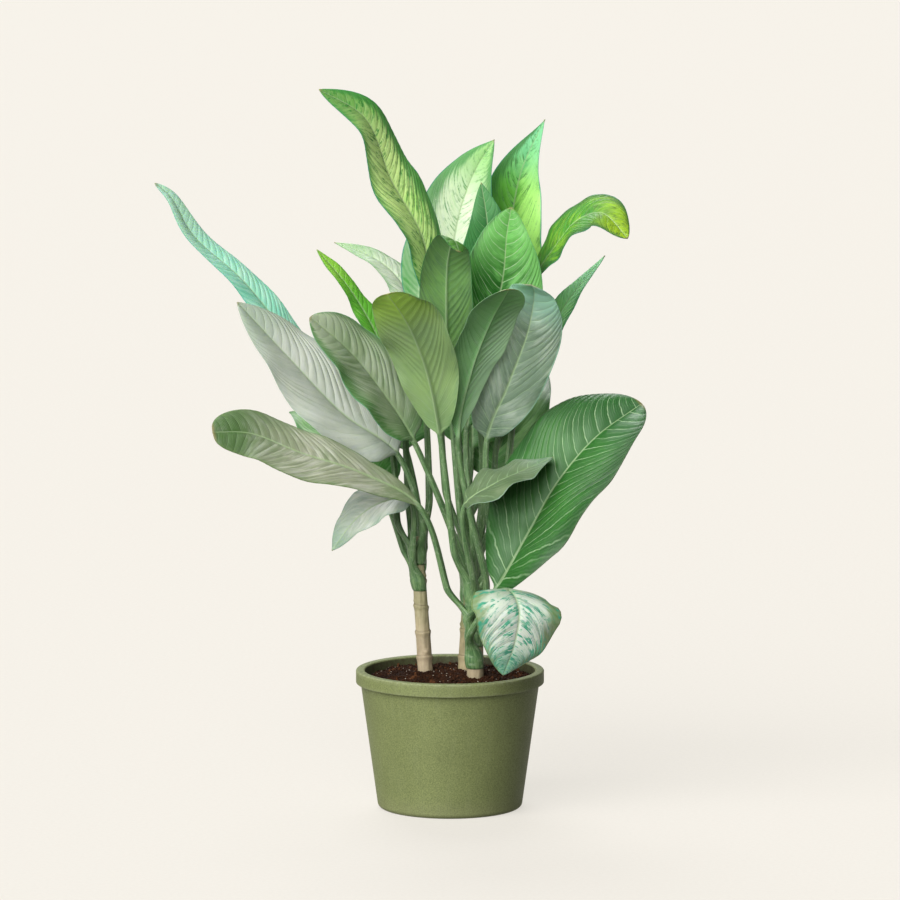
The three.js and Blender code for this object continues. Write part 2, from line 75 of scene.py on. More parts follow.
# seat: cane, height of the node, the way the stalk leaves it and how far it leans out.
# path: the midrib from neck to tip. face: the way the upper side looks at the neck.
# shape: how fast the blade widens and narrows. fold: the V along the midrib.
LEAVES = {
    "leaf_low_heart": dict(
        seat=("front", 138, -110, 9), width=86, face=(70, 80), shape=(0.36, 0.8), fold=8, wave=3,
        path=[(51, -94, 213), (61, -121, 199), (57, -125, 170), (47, -116, 140)]),
    "leaf_broad_right": dict(
        seat=("front", 158, -115, 3), width=120, face=(-136, 5), shape=(0.68, 0.56), fold=26, wave=3,
        path=[(40, -57, 206), (71, -55, 260), (96, -49, 303), (130, -39, 342), (172, -25, 371)]),
    "leaf_low_left": dict(
        seat=("front", 172, 175, 12), width=54, face=(-45, 25), shape=(0.8, 0.38), fold=12, wave=2,
        path=[(-27, -32, 278), (-79, -46, 311), (-134, -56, 331), (-178, -62, 349), (-211, -76, 352)]),
    "leaf_low_right": dict(
        seat=("front", 188, -90, 9), width=74, face=(-170, 20), shape=(0.48, 0.88), fold=18, wave=3,
        path=[(13, -66, 284), (38, -66, 303), (65, -59, 315), (92, -49, 326)]),
    "leaf_front_left": dict(
        seat=("front", 196, -145, 9), width=66, face=(78, 10), shape=(0.6, 0.42), fold=22, wave=3,
        path=[(-9, -52, 346), (-21, -65, 406), (-37, -85, 449), (-55, -115, 480)]),
    "leaf_front_right": dict(
        seat=("front", 168, -35, 7), width=58, face=(125, 5), shape=(0.9, 0.42), fold=13, wave=2,
        path=[(7, -40, 340), (18, -46, 400), (35, -64, 447), (52, -95, 482)]),
    "leaf_mid_left": dict(
        seat=("front", 182, 105, 5), width=72, face=(-45, 15), shape=(0.48, 0.6), fold=22, wave=3,
        path=[(-33, -12, 336), (-61, -18, 381), (-91, -30, 420), (-125, -46, 451)]),
    "leaf_mid_right": dict(
        seat=("front", 196, 15, 7), width=70, face=(-100, 10), shape=(0.48, 0.45), fold=22, wave=3,
        path=[(33, -16, 337), (52, -22, 387), (70, -32, 438), (75, -50, 474), (72, -69, 483)]),
    "leaf_narrow_right": dict(
        seat=("back", 200, 10, 12), width=44, face=(-145, 20), shape=(0.48, 0.88), fold=22, wave=2,
        path=[(44, 44, 333), (75, 56, 388), (102, 72, 444), (141, 90, 492)]),
    "leaf_centre": dict(
        seat=("back", 210, -80, 9), width=88, face=(-100, 0), shape=(0.8, 0.75), fold=22, wave=3,
        path=[(15, 10, 343), (36, 8, 425), (48, 6, 484), (51, 4, 520), (55, 2, 545)]),
    "leaf_centre_dark": dict(
        seat=("back", 222, 40, 7), width=56, face=(-90, 5), shape=(0.48, 0.88), fold=22, wave=2,
        path=[(25, 28, 422), (31, 28, 477), (34, 28, 522), (28, 24, 565)]),
    "leaf_top_pale": dict(
        seat=("back", 220, 115, 3), width=100, face=(-115, 5), shape=(0.46, 0.95), fold=22, wave=3,
        path=[(2, 70, 417), (1, 78, 480), (9, 76, 533), (23, 66, 572), (40, 54, 601)]),
    "leaf_top_dark": dict(
        seat=("back", 222, -115, 9), width=50, face=(80, 10), shape=(0.48, 0.6), fold=8, wave=2,
        path=[(0, 4, 380), (-3, -10, 445), (-2, -26, 499), (3, -46, 520), (8, -66, 512)]),
    "leaf_tall_left": dict(
        seat=("back", 222, 180, 9), width=60, face=(-40, 5), shape=(0.62, 0.76), fold=22, wave=3,
        path=[(-16, 22, 450), (-25, 20, 515), (-53, 14, 568), (-76, 8, 624), (-117, -2, 651)]),
    "leaf_top_right": dict(
        seat=("back", 210, 70, 12), width=96, face=(-125, 10), shape=(0.48, 1.15), fold=22, wave=3,
        path=[(40, 78, 425), (54, 89, 511), (65, 89, 569), (86, 81, 617)]),
    "leaf_arched_right": dict(
        seat=("back", 214, -10, 12), width=60, face=(-165, 20), shape=(0.48, 0.7), fold=20, wave=2,
        path=[(76, 27, 474), (97, 22, 510), (115, 14, 532), (136, 6, 539), (159, -10, 518)]),
    "leaf_back_right": dict(
        seat=("back", 206, 150, 9), width=84, face=(-105, 40), shape=(0.48, 0.88), fold=22, wave=3,
        path=[(35, 80, 287), (53, 120, 337), (65, 170, 375), (69, 215, 390)]),
    "leaf_back_centre": dict(
        seat=("back", 190, 120, 9), width=90, face=(-85, 30), shape=(0.48, 0.88), fold=22, wave=3,
        path=[(20, 90, 313), (16, 130, 391), (11, 180, 432), (9, 232, 424)]),
    "leaf_far_left": dict(
        seat=("left", 228, -170, 9), width=38, face=(-45, 36), shape=(0.48, 0.6), fold=22, wave=2,
        path=[(-59, 40, 339), (-118, 48, 388), (-187, 48, 473), (-232, 46, 515), (-252, 43, 550),
              (-266, 38, 563)]),
    "leaf_broad_left": dict(
        seat=("left", 228, -70, 9), width=94, face=(-45, 20), shape=(0.44, 0.8), fold=22, wave=3,
        path=[(-47, 8, 320), (-96, 6, 357), (-146, 2, 410), (-191, -4, 460)]),
    "leaf_narrow_left": dict(
        seat=("left", 240, 120, 6), width=28, face=(-45, 20), shape=(0.48, 0.7), fold=22, wave=2,
        path=[(-45, 46, 365), (-67, 60, 423), (-93, 70, 466), (-121, 76, 499)]),
    "leaf_arched_left": dict(
        seat=("left", 234, 10, 3), width=36, face=(-65, 25), shape=(0.48, 0.88), fold=22, wave=2,
        path=[(-24, 78, 375), (-33, 104, 431), (-44, 118, 463), (-64, 128, 482), (-86, 138, 492),
              (-106, 146, 498)]),
    "leaf_drooping_left": dict(
        seat=("left", 204, -120, 5), width=52, face=(-10, 35), shape=(0.48, 0.88), fold=22, wave=2,
        path=[(-36, -8, 281), (-59, -16, 281), (-83, -22, 267), (-106, -26, 238)]),
    "leaf_back_left": dict(
        seat=("left", 208, 130, 12), width=84, face=(-60, 50), shape=(0.48, 0.88), fold=22, wave=3,
        path=[(-62, 66, 279), (-96, 104, 318), (-124, 142, 338), (-142, 182, 336)]),
    "leaf_back_upper": dict(
        seat=("left", 222, 80, 9), width=84, face=(-80, 40), shape=(0.48, 0.88), fold=22, wave=3,
        path=[(-40, 80, 315), (-60, 120, 356), (-74, 165, 382), (-82, 210, 385)]),
}

# ------------------------------------------------------------------ the leaves' tones

# Tones as they look in daylight. body: most of the blade; deep: its shade and its margin;
# pale: its patches; tip; edge: the thin outer line; dark: its flecks. patches: how much is pale;
# flecks: how strong the dark ones are; band: how wide the deep margin is; veins: how pale they
# are; half: which half is paler, from -1 for the left one to 1 for the right one. On top_right
# the paler half is painted light and the other half painted shade.
Dress = namedtuple("Dress", "body deep pale tip edge dark patches flecks band veins half slot")
DRESS = {
    "leaf_low_heart": Dress("#8acca0", "#6f8f4c", "#e6efe2", "#79c9a0", "#5f7a38", "#40a886",
                            0.58, 1.3, 0.7, 0.1, 0.15, "leaf_mint"),
    "leaf_broad_right": Dress("#34742a", "#104a0e", "#789a70", "#0e5412", "#3d5a34", "#2a5c2a",
                              0.1, 0.15, 0.55, 0.75, -0.25, "leaf_green"),
    "leaf_low_left": Dress("#979d84", "#66864a", "#c8cbba", "#2a6400", "#5f7c44", "#66803f",
                           0.42, 0.05, 0.3, 0.15, 0.0, "leaf_olive"),
    "leaf_low_right": Dress("#6c825e", "#4c6a42", "#8e9e7c", "#6f8f73", "#8aa891", "#557258",
                            0.3, 0.05, 0.2, 0.55, 0.0, "leaf_silver"),
    "leaf_front_left": Dress("#88ac56", "#527f3c", "#9fb38c", "#c8ff00", "#8aa872", "#527a3e",
                             0.35, 0.1, 0.3, 0.25, 0.2, "leaf_olive"),
    "leaf_front_right": Dress("#8ad47a", "#62ac58", "#e8fae6", "#4ca428", "#86a886", "#386a2a",
                              0.4, 0.1, 0.25, 0.3, -1.0, "leaf_green"),
    "leaf_mid_left": Dress("#9cae88", "#467f38", "#bccaaf", "#b8c8a8", "#6fae8a", "#587c44",
                           0.42, 0.1, 0.6, 0.3, 0.25, "leaf_olive"),
    "leaf_mid_right": Dress("#809880", "#3c6040", "#acbcaa", "#aee8cd", "#96c6ac", "#5f8562",
                            0.42, 0.1, 0.25, 0.5, 0.0, "leaf_silver"),
    "leaf_narrow_right": Dress("#92e87c", "#3f9c54", "#b4f0ae", "#a8f4bc", "#5cb896", "#438c56",
                               0.42, 0.35, 0.5, 0.3, 0.0, "leaf_mint"),
    "leaf_centre": Dress("#1b6412", "#0a440e", "#7cc668", "#72c05c", "#66ae6c", "#1f6e20",
                         0.42, 0.45, 0.3, 0.9, 0.25, "leaf_green"),
    "leaf_centre_dark": Dress("#3a8440", "#1f6430", "#79b274", "#60a264", "#4f9f70", "#2d6c40",
                              0.25, 0.3, 0.35, 0.4, 0.0, "leaf_green"),
    "leaf_top_pale": Dress("#9cdf74", "#3a9440", "#f0ffe0", "#8cd46a", "#3c9384", "#479a48",
                           0.72, 0.8, 0.85, 0.1, 0.15, "leaf_bright"),
    "leaf_top_dark": Dress("#2c7218", "#184a12", "#86c43a", "#3c8020", "#428850", "#1f4d1c",
                           0.48, 1.0, 0.4, 0.2, 0.0, "leaf_green"),
    "leaf_tall_left": Dress("#bcff80", "#2a8e38", "#e0ffa4", "#2f8a2c", "#2d8f86", "#2f8c34",
                            0.64, 1.0, 0.75, 0.15, -0.5, "leaf_bright"),
    # top_right: its half of 1 paints one half of the blade paler as lit and the other darker as painted
    # shade.
    "leaf_top_right": Dress("#64b83a", "#1f6e26", "#b0f078", "#78d4a4", "#349a90", "#2d7432",
                            0.42, 0.9, 0.6, 0.15, 1.0, "leaf_bright"),
    "leaf_arched_right": Dress("#46962e", "#155a28", "#9cd236", "#9fc21c", "#2d8468", "#4b6f24",
                               0.4, 0.9, 0.6, 0.2, 0.0, "leaf_bright"),
    "leaf_back_right": Dress("#5c9a49", "#33702d", "#9ecb85", "#6eaa5c", "#5f9f5a", "#33702f",
                             0.42, 0.6, 0.5, 0.4, 0.0, "leaf_green"),
    "leaf_back_centre": Dress("#549540", "#2f6b2b", "#97c77d", "#67a656", "#599a56", "#2f6b2d",
                              0.42, 0.6, 0.5, 0.4, 0.0, "leaf_green"),
    "leaf_far_left": Dress("#a4f2d4", "#5ccab0", "#c4f8e0", "#d0ffe0", "#3fb99c", "#7ae0c0",
                           0.45, 0.1, 0.2, 0.1, 0.0, "leaf_mint"),
    "leaf_broad_left": Dress("#d6dcd0", "#9cac9e", "#dfe3da", "#b4c8b2", "#b6c6b6", "#94a08f",
                             0.42, 0.3, 0.3, 0.2, 0.0, "leaf_silver"),
    "leaf_narrow_left": Dress("#62b826", "#36861a", "#a4d276", "#96d046", "#4f9442", "#3d7f27",
                              0.3, 0.5, 0.4, 0.2, 0.0, "leaf_green"),
    "leaf_arched_left": Dress("#a9c3a0", "#7ba877", "#d6e0cd", "#97bf8b", "#93b68e", "#7fae78",
                              0.5, 0.6, 0.5, 0.2, 0.0, "leaf_silver"),
    "leaf_drooping_left": Dress("#b6c0b0", "#7f9c88", "#d2d7cc", "#7ea086", "#97b09d", "#8aa08c",
                                0.42, 0.1, 0.35, 0.25, 0.0, "leaf_silver"),
    "leaf_back_left": Dress("#5f9d4d", "#377333", "#a0cc88", "#70aa5e", "#629f5f", "#377334",
                            0.42, 0.6, 0.5, 0.4, 0.0, "leaf_green"),
    "leaf_back_upper": Dress("#5a9946", "#326e2f", "#9ac980", "#6ca75a", "#5e9b59", "#326e30",
                             0.42, 0.6, 0.5, 0.4, 0.0, "leaf_green"),
}


# ------------------------------------------------------------------ small helpers

def tint(code, gain=1.0):
    """A colour written as #rrggbb, as the numbers that a shader reads."""
    parts = [int(code[i:i + 2], 16) / 255 for i in (1, 3, 5)]
    return (*[gain * (p / 12.92 if p <= 0.04045 else ((p + 0.055) / 1.055) ** 2.4) for p in parts], 1)


def unit(vectors):
    """The vectors, each at length 1."""
    return vectors / np.maximum(np.linalg.norm(vectors, axis=-1, keepdims=True), 1e-9)


def smooth(low, high, values):
    """0 up to low, 1 from high on, and a soft rise between them."""
    share = np.clip((values - low) / (high - low), 0, 1)
    return share * share * (3 - 2 * share)


def square(normals, headings):
    """The normals, turned until they stand square to the headings."""
    return unit(normals - (normals * headings).sum(-1, keepdims=True) * headings)


def mesh_of(name, points, faces):
    """A smooth mesh from points in millimetres."""
    mesh = bpy.data.meshes.new(name)
    mesh.from_pydata((np.asarray(points) * MM).tolist(), [], faces)
    mesh.shade_smooth()
    return mesh


def finished(name, mesh, material, slot, *replaced):
    """A piece at the origin that rides on the plant's one body."""
    piece = bpy.data.objects.new(name, mesh)
    bpy.context.scene.collection.objects.link(piece)
    if material:
        mesh.materials.clear()
        mesh.materials.append(material)
    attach(piece, "root")
    if replaced:
        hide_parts(*replaced)
    return piece


def ring_faces(rings, sides):
    """Quads between rings of points that are listed one ring after another."""
    first = np.arange(rings - 1)[:, None] * sides
    here = np.arange(sides)[None]
    after = (here + 1) % sides
    quads = np.stack([first + here, first + after, first + after + sides, first + here + sides], -1)
    return quads.reshape(-1, 4)


def capped_faces(rings, sides):
    """The faces between rings, and a fan at each end round two points that follow them."""
    last = (rings - 1) * sides
    low, high = rings * sides, rings * sides + 1
    faces = ring_faces(rings, sides).tolist()
    faces += [[(j + 1) % sides, j, low] for j in range(sides)]
    faces += [[last + j, last + (j + 1) % sides, high] for j in range(sides)]
    return faces


def write_values(mesh, name, kind, values):
    """Stores a value for each point of a mesh, for its material to read."""
    layer = mesh.attributes.new(name, kind, "POINT")
    key = "vector" if kind == "FLOAT_VECTOR" else "value"
    layer.data.foreach_set(key, np.asarray(values, np.float32).ravel())


# ------------------------------------------------------------------ node helpers

MIX_SHARE, MIX_A, MIX_B = 0, 6, 7  # the inputs of a Mix node that mixes colours
MIX_RESULT = 2


class Wiring:
    """Adds nodes to one tree. Each call joins its inputs and gives back an output."""

    def __init__(self, tree):
        self.tree = tree

    def add(self, kind, inputs=(), **settings):
        node = self.tree.nodes.new(kind)
        for key, value in settings.items():
            setattr(node, key, value)
        for key, value in dict(inputs).items():
            self.join(value, node.inputs[key])
        return node

    def join(self, value, socket):
        if isinstance(value, bpy.types.NodeSocket):
            self.tree.links.new(value, socket)
        else:
            socket.default_value = value

    def math(self, operation, a, b=0.0, c=0.0):
        return self.add("ShaderNodeMath", {0: a, 1: b, 2: c}, operation=operation).outputs[0]

    def vector(self, operation, a, b=(0, 0, 0)):
        node = self.add("ShaderNodeVectorMath", {0: a, 1: b}, operation=operation)
        return node.outputs["Value" if operation == "LENGTH" else "Vector"]

    def scaled(self, vector, factor):
        return self.add("ShaderNodeVectorMath", {0: vector, 3: factor}, operation="SCALE").outputs[0]

    def mix(self, share, a, b, blend="MIX"):
        """Colour a, covered by colour b as far as the share says."""
        inputs = {MIX_SHARE: share, MIX_A: a, MIX_B: b}
        return self.add("ShaderNodeMix", inputs, data_type="RGBA", blend_type=blend).outputs[MIX_RESULT]

    def shade(self, a, b):
        """Colour a darkened or lightened by b, a plain value or a colour."""
        return self.mix(1.0, a, b, "MULTIPLY")

    def between(self, value, low, high, start=0.0, end=1.0):
        """Start up to low, end from high on, and a soft change between them."""
        inputs = {0: value, 1: low, 2: high, 3: start, 4: end}
        node = self.add("ShaderNodeMapRange", inputs, interpolation_type="SMOOTHSTEP")
        return node.outputs[0]

    def noise(self, vector, scale, detail=3.0, roughness=0.55, distortion=0.0):
        inputs = {"Vector": vector, "Scale": scale, "Detail": detail, "Roughness": roughness,
                  "Distortion": distortion}
        return self.add("ShaderNodeTexNoise", inputs).outputs[0]

    def cells(self, vector, scale):
        return self.add("ShaderNodeTexVoronoi", {"Vector": vector, "Scale": scale}).outputs["Distance"]

    def object_place(self):
        return self.add("ShaderNodeTexCoord").outputs["Object"]

    def parts(self, vector):
        return self.add("ShaderNodeSeparateXYZ", {0: vector}).outputs

    def joined(self, x, y, z):
        return self.add("ShaderNodeCombineXYZ", {0: x, 1: y, 2: z}).outputs[0]

    def attribute(self, name, output="Vector"):
        node = self.add("ShaderNodeAttribute", attribute_name=name)
        return node.outputs[output]

    def bump(self, height, strength, distance):
        inputs = {"Height": height, "Strength": strength, "Distance": distance}
        return self.add("ShaderNodeBump", inputs).outputs[0]

    def group(self, tree, **inputs):
        node = self.add("ShaderNodeGroup", node_tree=tree)
        for key, value in inputs.items():
            self.join(value, node.inputs[key])
        return node.outputs

    def finish(self, color, roughness, normal, **constants):
        """The material's own shader; constants are plain numbers on its sockets."""
        shader = self.add("ShaderNodeBsdfPrincipled")
        self.join(color, shader.inputs["Base Color"])
        self.join(roughness, shader.inputs["Roughness"])
        self.join(normal, shader.inputs["Normal"])
        for key, value in constants.items():
            shader.inputs[key.replace("_", " ")].default_value = value
        output = self.add("ShaderNodeOutputMaterial")
        self.join(shader.outputs[0], output.inputs["Surface"])


def new_material(name):
    """A material without nodes, and its wiring."""
    material = bpy.data.materials.new(name)
    material.use_nodes = True
    material.node_tree.nodes.clear()
    return material, Wiring(material.node_tree)


def new_group(name, inputs, outputs):
    """A shared effect: its tree, its wiring, the sockets that it reads and its output node."""
    tree = bpy.data.node_groups.new(name, "ShaderNodeTree")
    for label, kind in inputs.items():
        tree.interface.new_socket(label, in_out="INPUT", socket_type=f"NodeSocket{kind}")
    for label, kind in outputs.items():
        tree.interface.new_socket(label, in_out="OUTPUT", socket_type=f"NodeSocket{kind}")
    wires = Wiring(tree)
    given = wires.add("NodeGroupInput").outputs
    return tree, wires, given, wires.add("NodeGroupOutput").inputs


# ------------------------------------------------------------------ shared effects

def vein_group():
    """Where a leaf's midrib, side veins and fine veins lie, and the relief that they make."""
    tree, w, given, out = new_group(
        "leaf_veins",
        {"Growth": "Vector", "Spread": "Vector"},
        {"Rib": "Float", "Side": "Float", "Fine": "Float", "Relief": "Float"},
    )
    vein, across, along = w.parts(given["Growth"])
    from_rib = w.math("ABSOLUTE", w.parts(given["Spread"])[0])
    wander = w.math("MULTIPLY_ADD", w.noise(given["Spread"], 0.8, 2.0), 0.3, -0.15)
    vein = w.math("ADD", vein, wander)
    edge = w.math("ABSOLUTE", across)

    def lines(count, low, high):
        phase = w.math("FRACT", w.math("MULTIPLY_ADD", vein, count, 0.5))
        return w.between(w.math("ABSOLUTE", w.math("SUBTRACT", phase, 0.5)), low, high, 1.0, 0.0)

    uneven = w.between(w.noise(given["Spread"], 1.1, 3.0, 0.6), 0.32, 0.62, 0.35, 1.0)
    faded = w.math("MULTIPLY", w.between(edge, 0.45, 1.0, 1.0, 0.2), w.between(along, 0.0, 0.06))
    faded = w.math("MULTIPLY", faded, uneven)
    halfway = w.math("MULTIPLY", lines(2.0, 0.0, 0.12), w.between(edge, 0.1, 0.4, 0.0, 0.4))
    side = w.math("MULTIPLY", w.math("MAXIMUM", lines(1.0, 0.005, 0.07), halfway), faded)
    fine = w.math("MULTIPLY", lines(6.0, 0.0, 0.42), w.between(edge, 0.02, 0.2))
    rib_width = w.math("MULTIPLY_ADD", along, -0.17, 0.22)
    rib = w.between(w.math("DIVIDE", from_rib, rib_width), 0.5, 1.0, 1.0, 0.0)
    skin = w.cells(given["Spread"], 7.0)
    relief = w.math("MULTIPLY_ADD", side, -0.6, w.math("MULTIPLY", fine, -0.15))
    relief = w.math("MULTIPLY_ADD", skin, 0.06, relief)
    for label, value in (("Rib", rib), ("Side", side), ("Fine", fine), ("Relief", relief)):
        w.join(value, out[label])
    return tree


def patch_group():
    """Pale patches, brushy flecks and a deep margin, all feathered along the side veins."""
    tree, w, given, out = new_group(
        "leaf_patches",
        {"Growth": "Vector", "Spread": "Vector", "Share": "Float", "Dark": "Float", "Band": "Float",
         "Half": "Float"},
        {"Pale": "Float", "Flecks": "Float", "Margin": "Float", "Cloud": "Float"},
    )
    vein, across, along = w.parts(given["Growth"])
    seed = w.parts(given["Spread"])[2]
    edge = w.math("ABSOLUTE", across)

    def brushed(finer, longer, detail):
        """Noise drawn out along the side veins."""
        place = w.joined(w.math("MULTIPLY", vein, finer), w.math("MULTIPLY", across, longer), seed)
        return w.noise(place, 1.0, detail, 0.62, 0.3)

    # Half makes one side of the blade paler; on top_right this is painted light and shade.
    lean = w.math("MULTIPLY", given["Half"], across)
    broad = w.noise(given["Spread"], 0.2, 2.0)
    level = w.math("MULTIPLY_ADD", brushed(1.5, 1.7, 5.0), 0.8, w.math("MULTIPLY", broad, 0.5))
    level = w.math("ADD", level, w.math("MULTIPLY_ADD", lean, 0.35, given["Share"]))
    pale = w.between(level, 0.98, 1.26)

    strokes = brushed(5.5, 3.0, 3.0)
    dabs = w.noise(given["Spread"], 1.9, 3.0, 0.6, 0.5)
    flecks = w.math("ADD", w.math("MULTIPLY", strokes, 0.7), w.math("MULTIPLY", dabs, 0.3))
    flecks = w.math("MULTIPLY_ADD", lean, -0.05, flecks)
    flecks = w.math("MULTIPLY_ADD", given["Dark"], 0.06, flecks)
    flecks = w.math("MULTIPLY", w.between(flecks, 0.56, 0.65), w.between(along, 0.02, 0.12))
    uneven = w.between(w.noise(given["Spread"], 0.9, 2.0), 0.35, 0.6, 0.4, 1.0)
    flecks = w.math("MULTIPLY", flecks, uneven)

    ragged = w.math("MULTIPLY_ADD", brushed(3.0, 1.2, 4.0), 0.9, -0.45)
    reach = w.math("ADD", edge, w.math("MULTIPLY_ADD", lean, -0.3, ragged))
    start = w.math("MULTIPLY_ADD", given["Band"], -0.6, 1.12)
    margin = w.between(w.math("SUBTRACT", reach, start), -0.12, 0.2)
    cloud = w.between(w.noise(given["Spread"], 0.33, 3.0, 0.55), 0.3, 0.72)
    for label, value in (("Pale", pale), ("Flecks", flecks), ("Margin", margin), ("Cloud", cloud)):
        w.join(value, out[label])
    return tree


def grain_group():
    """Fine moulded or earthy grain at two scales, with slow clouds of tone."""
    tree, w, given, out = new_group(
        "surface_grain",
        {"Place": "Vector", "Size": "Float"},
        {"Grain": "Float", "Cloud": "Float", "Height": "Float"},
    )
    fine = w.noise(given["Place"], w.math("DIVIDE", 1.0, given["Size"]), 3.0, 0.7)
    coarse = w.noise(given["Place"], w.math("DIVIDE", 0.28, given["Size"]), 2.0, 0.5)
    cloud = w.noise(given["Place"], w.math("DIVIDE", 0.03, given["Size"]), 4.0, 0.55)
    height = w.math("ADD", w.math("MULTIPLY", fine, 0.6), w.math("MULTIPLY", coarse, 0.4))
    w.join(w.between(fine, 0.3, 0.7), out["Grain"])
    w.join(w.between(cloud, 0.3, 0.7), out["Cloud"])
    w.join(height, out["Height"])
    return tree


VEINS = vein_group()
PATCHES = patch_group()
GRAIN = grain_group()


# ------------------------------------------------------------------ finishes

LEAF_GAIN = 0.74  # the tones are as seen; the lights below brighten them again
VEIN_TONE = "#b6d6a6"
RIB_TONE = "#a9c492"
UNDER_TONE = "#8aa184"
DRY_TONE = "#8d7c4e"
STALK_TONES = ("#4c7345", "#7f9f6c", "#b2c3a2")
LEAF_ROUGHNESS = (0.4, 0.56)
LEAF_COVER = dict(  # the most that each tone covers
    cloud=0.45, patch=0.9, tip=0.8, neck=0.5, margin=0.85, fine=0.1, side=0.85, rib=0.55,
    under=0.3, edge=0.7, dry=0.7)
TIP_SPAN = (0.62, 0.92)  # along the blade, from its neck at 0 to its tip at 1
NECK_SPAN = (0.0, 0.34)
DRY_SPAN = (0.982, 1.0)
EDGE_SPAN = (0.96, 0.985)  # across the blade, from its midrib at 0 to its edge at 1


def leaf_finish(name, dress):
    """Satin leaf in its own tones, paler beneath, that turns into its streaky stalk."""
    body, deep, pale, tip, edge_tone, dark = (tint(tone, LEAF_GAIN) for tone in dress[:6])
    shared = (VEIN_TONE, RIB_TONE, UNDER_TONE, DRY_TONE)
    vein_tone, rib_tone, under_tone, dry_tone = (tint(tone, LEAF_GAIN) for tone in shared)
    material, w = new_material(f"{name}_finish")
    growth = w.attribute("growth")
    spread = w.attribute("spread")
    under = w.attribute("under", "Fac")
    stalk = w.attribute("stalk", "Fac")
    _, across, along = w.parts(growth)
    edge = w.math("ABSOLUTE", across)
    veins = w.group(VEINS, Growth=growth, Spread=spread)
    patches = w.group(
        PATCHES, Growth=growth, Spread=spread, Share=dress.patches, Dark=dress.flecks, Band=dress.band,
        Half=dress.half)

    cover = LEAF_COVER
    shown = w.math("MULTIPLY_ADD", under, -0.6, 1.0)
    patch = w.math("MULTIPLY", patches["Pale"], w.math("MULTIPLY", shown, cover["patch"]))
    fleck = w.math("MULTIPLY", patches["Flecks"], w.math("MULTIPLY", shown, dress.flecks))
    color = w.mix(w.math("MULTIPLY", patches["Cloud"], cover["cloud"]), body, deep)
    color = w.mix(patch, color, pale)
    color = w.mix(w.between(along, *TIP_SPAN, 0.0, cover["tip"]), color, tip)
    color = w.mix(w.between(along, *NECK_SPAN, cover["neck"], 0.0), color, deep)
    color = w.mix(w.math("MULTIPLY", patches["Margin"], cover["margin"]), color, deep)
    color = w.mix(fleck, color, dark)
    color = w.mix(w.math("MULTIPLY", veins["Fine"], cover["fine"]), color, pale)
    color = w.mix(w.math("MULTIPLY", veins["Side"], cover["side"] * dress.veins), color, vein_tone)
    color = w.mix(w.math("MULTIPLY", veins["Rib"], cover["rib"]), color, rib_tone)
    color = w.mix(w.math("MULTIPLY", under, cover["under"]), color, under_tone)
    color = w.mix(w.between(edge, *EDGE_SPAN, 0.0, cover["edge"]), color, edge_tone)
    color = w.mix(w.between(along, *DRY_SPAN, 0.0, cover["dry"]), color, dry_tone)

    streak = w.noise(w.vector("MULTIPLY", spread, (6.0, 0.5, 1.0)), 1.4, 4.0, 0.6)
    mottle = w.between(w.noise(spread, 2.4, 3.0, 0.65), 0.53, 0.68)
    shade, green, light = (tint(tone, LEAF_GAIN) for tone in STALK_TONES)
    stalk_color = w.mix(w.between(streak, 0.35, 0.68), shade, green)
    stalk_color = w.mix(w.math("MULTIPLY", mottle, 0.4), stalk_color, light)
    color = w.mix(stalk, color, stalk_color)

    rough = w.between(patches["Cloud"], 0.0, 1.0, *LEAF_ROUGHNESS)
    rough = w.math("MULTIPLY_ADD", under, 0.14, rough)
    normal = w.bump(veins["Relief"], 0.5, 0.0006)
    w.finish(
        color, rough, normal,
        Subsurface_Weight=0.22, Subsurface_Radius=(0.9, 1.0, 0.35), Subsurface_Scale=0.0016,
        Specular_IOR_Level=0.3, Coat_Weight=0.05, Coat_Roughness=0.3,
    )
    return material


CANE_GAIN = 0.7
CANE_TONES = {  # young and old bark
    "front": ("#7f9154", "#a8987a"),
    "left": ("#a39d76", "#b3a184"),
    "back": ("#76894e", "#a2946f"),
}
FIBRE_TONE = "#d0c7a2"
SCAR_TONE = "#6b5f42"
CORK_SPAN = (0.12, 0.2)  # metres above the floor: old bark below, young bark above


def cane_finish(name, young, old):
    """Green, ringed stem that turns tan and corky towards the soil."""
    tones = (young, old, FIBRE_TONE, SCAR_TONE)
    young, old, fibre, scar_tone = (tint(tone, CANE_GAIN) for tone in tones)
    material, w = new_material(f"{name}_finish")
    place = w.object_place()
    scar = w.attribute("scar", "Fac")
    height = w.parts(place)[2]
    lengthwise = w.vector("MULTIPLY", place, (1, 1, 0.12))
    fibres = w.noise(lengthwise, 900.0, 4.0, 0.65)
    blotch = w.noise(place, 90.0, 4.0, 0.6)
    corky = w.math("ADD", w.between(height, *CORK_SPAN, 0.75, 0.05), w.math("MULTIPLY", blotch, 0.35))
    color = w.mix(w.between(corky, 0.25, 0.85), young, old)
    color = w.mix(w.between(fibres, 0.35, 0.75, 0.0, 0.35), color, fibre)
    color = w.mix(w.math("MULTIPLY", scar, 0.75), color, scar_tone)
    color = w.shade(color, w.between(blotch, 0.3, 0.7, 0.82, 1.08))
    height_map = w.math("MULTIPLY_ADD", fibres, 0.6, w.math("MULTIPLY", scar, -0.4))
    rough = w.between(fibres, 0.3, 0.7, 0.52, 0.72)
    w.finish(
        color, rough, w.bump(height_map, 0.55, 0.0005),
        Subsurface_Weight=0.05, Subsurface_Radius=(0.8, 0.9, 0.4), Subsurface_Scale=0.002,
        Specular_IOR_Level=0.4,
    )
    return material


POT_GAIN = 0.58
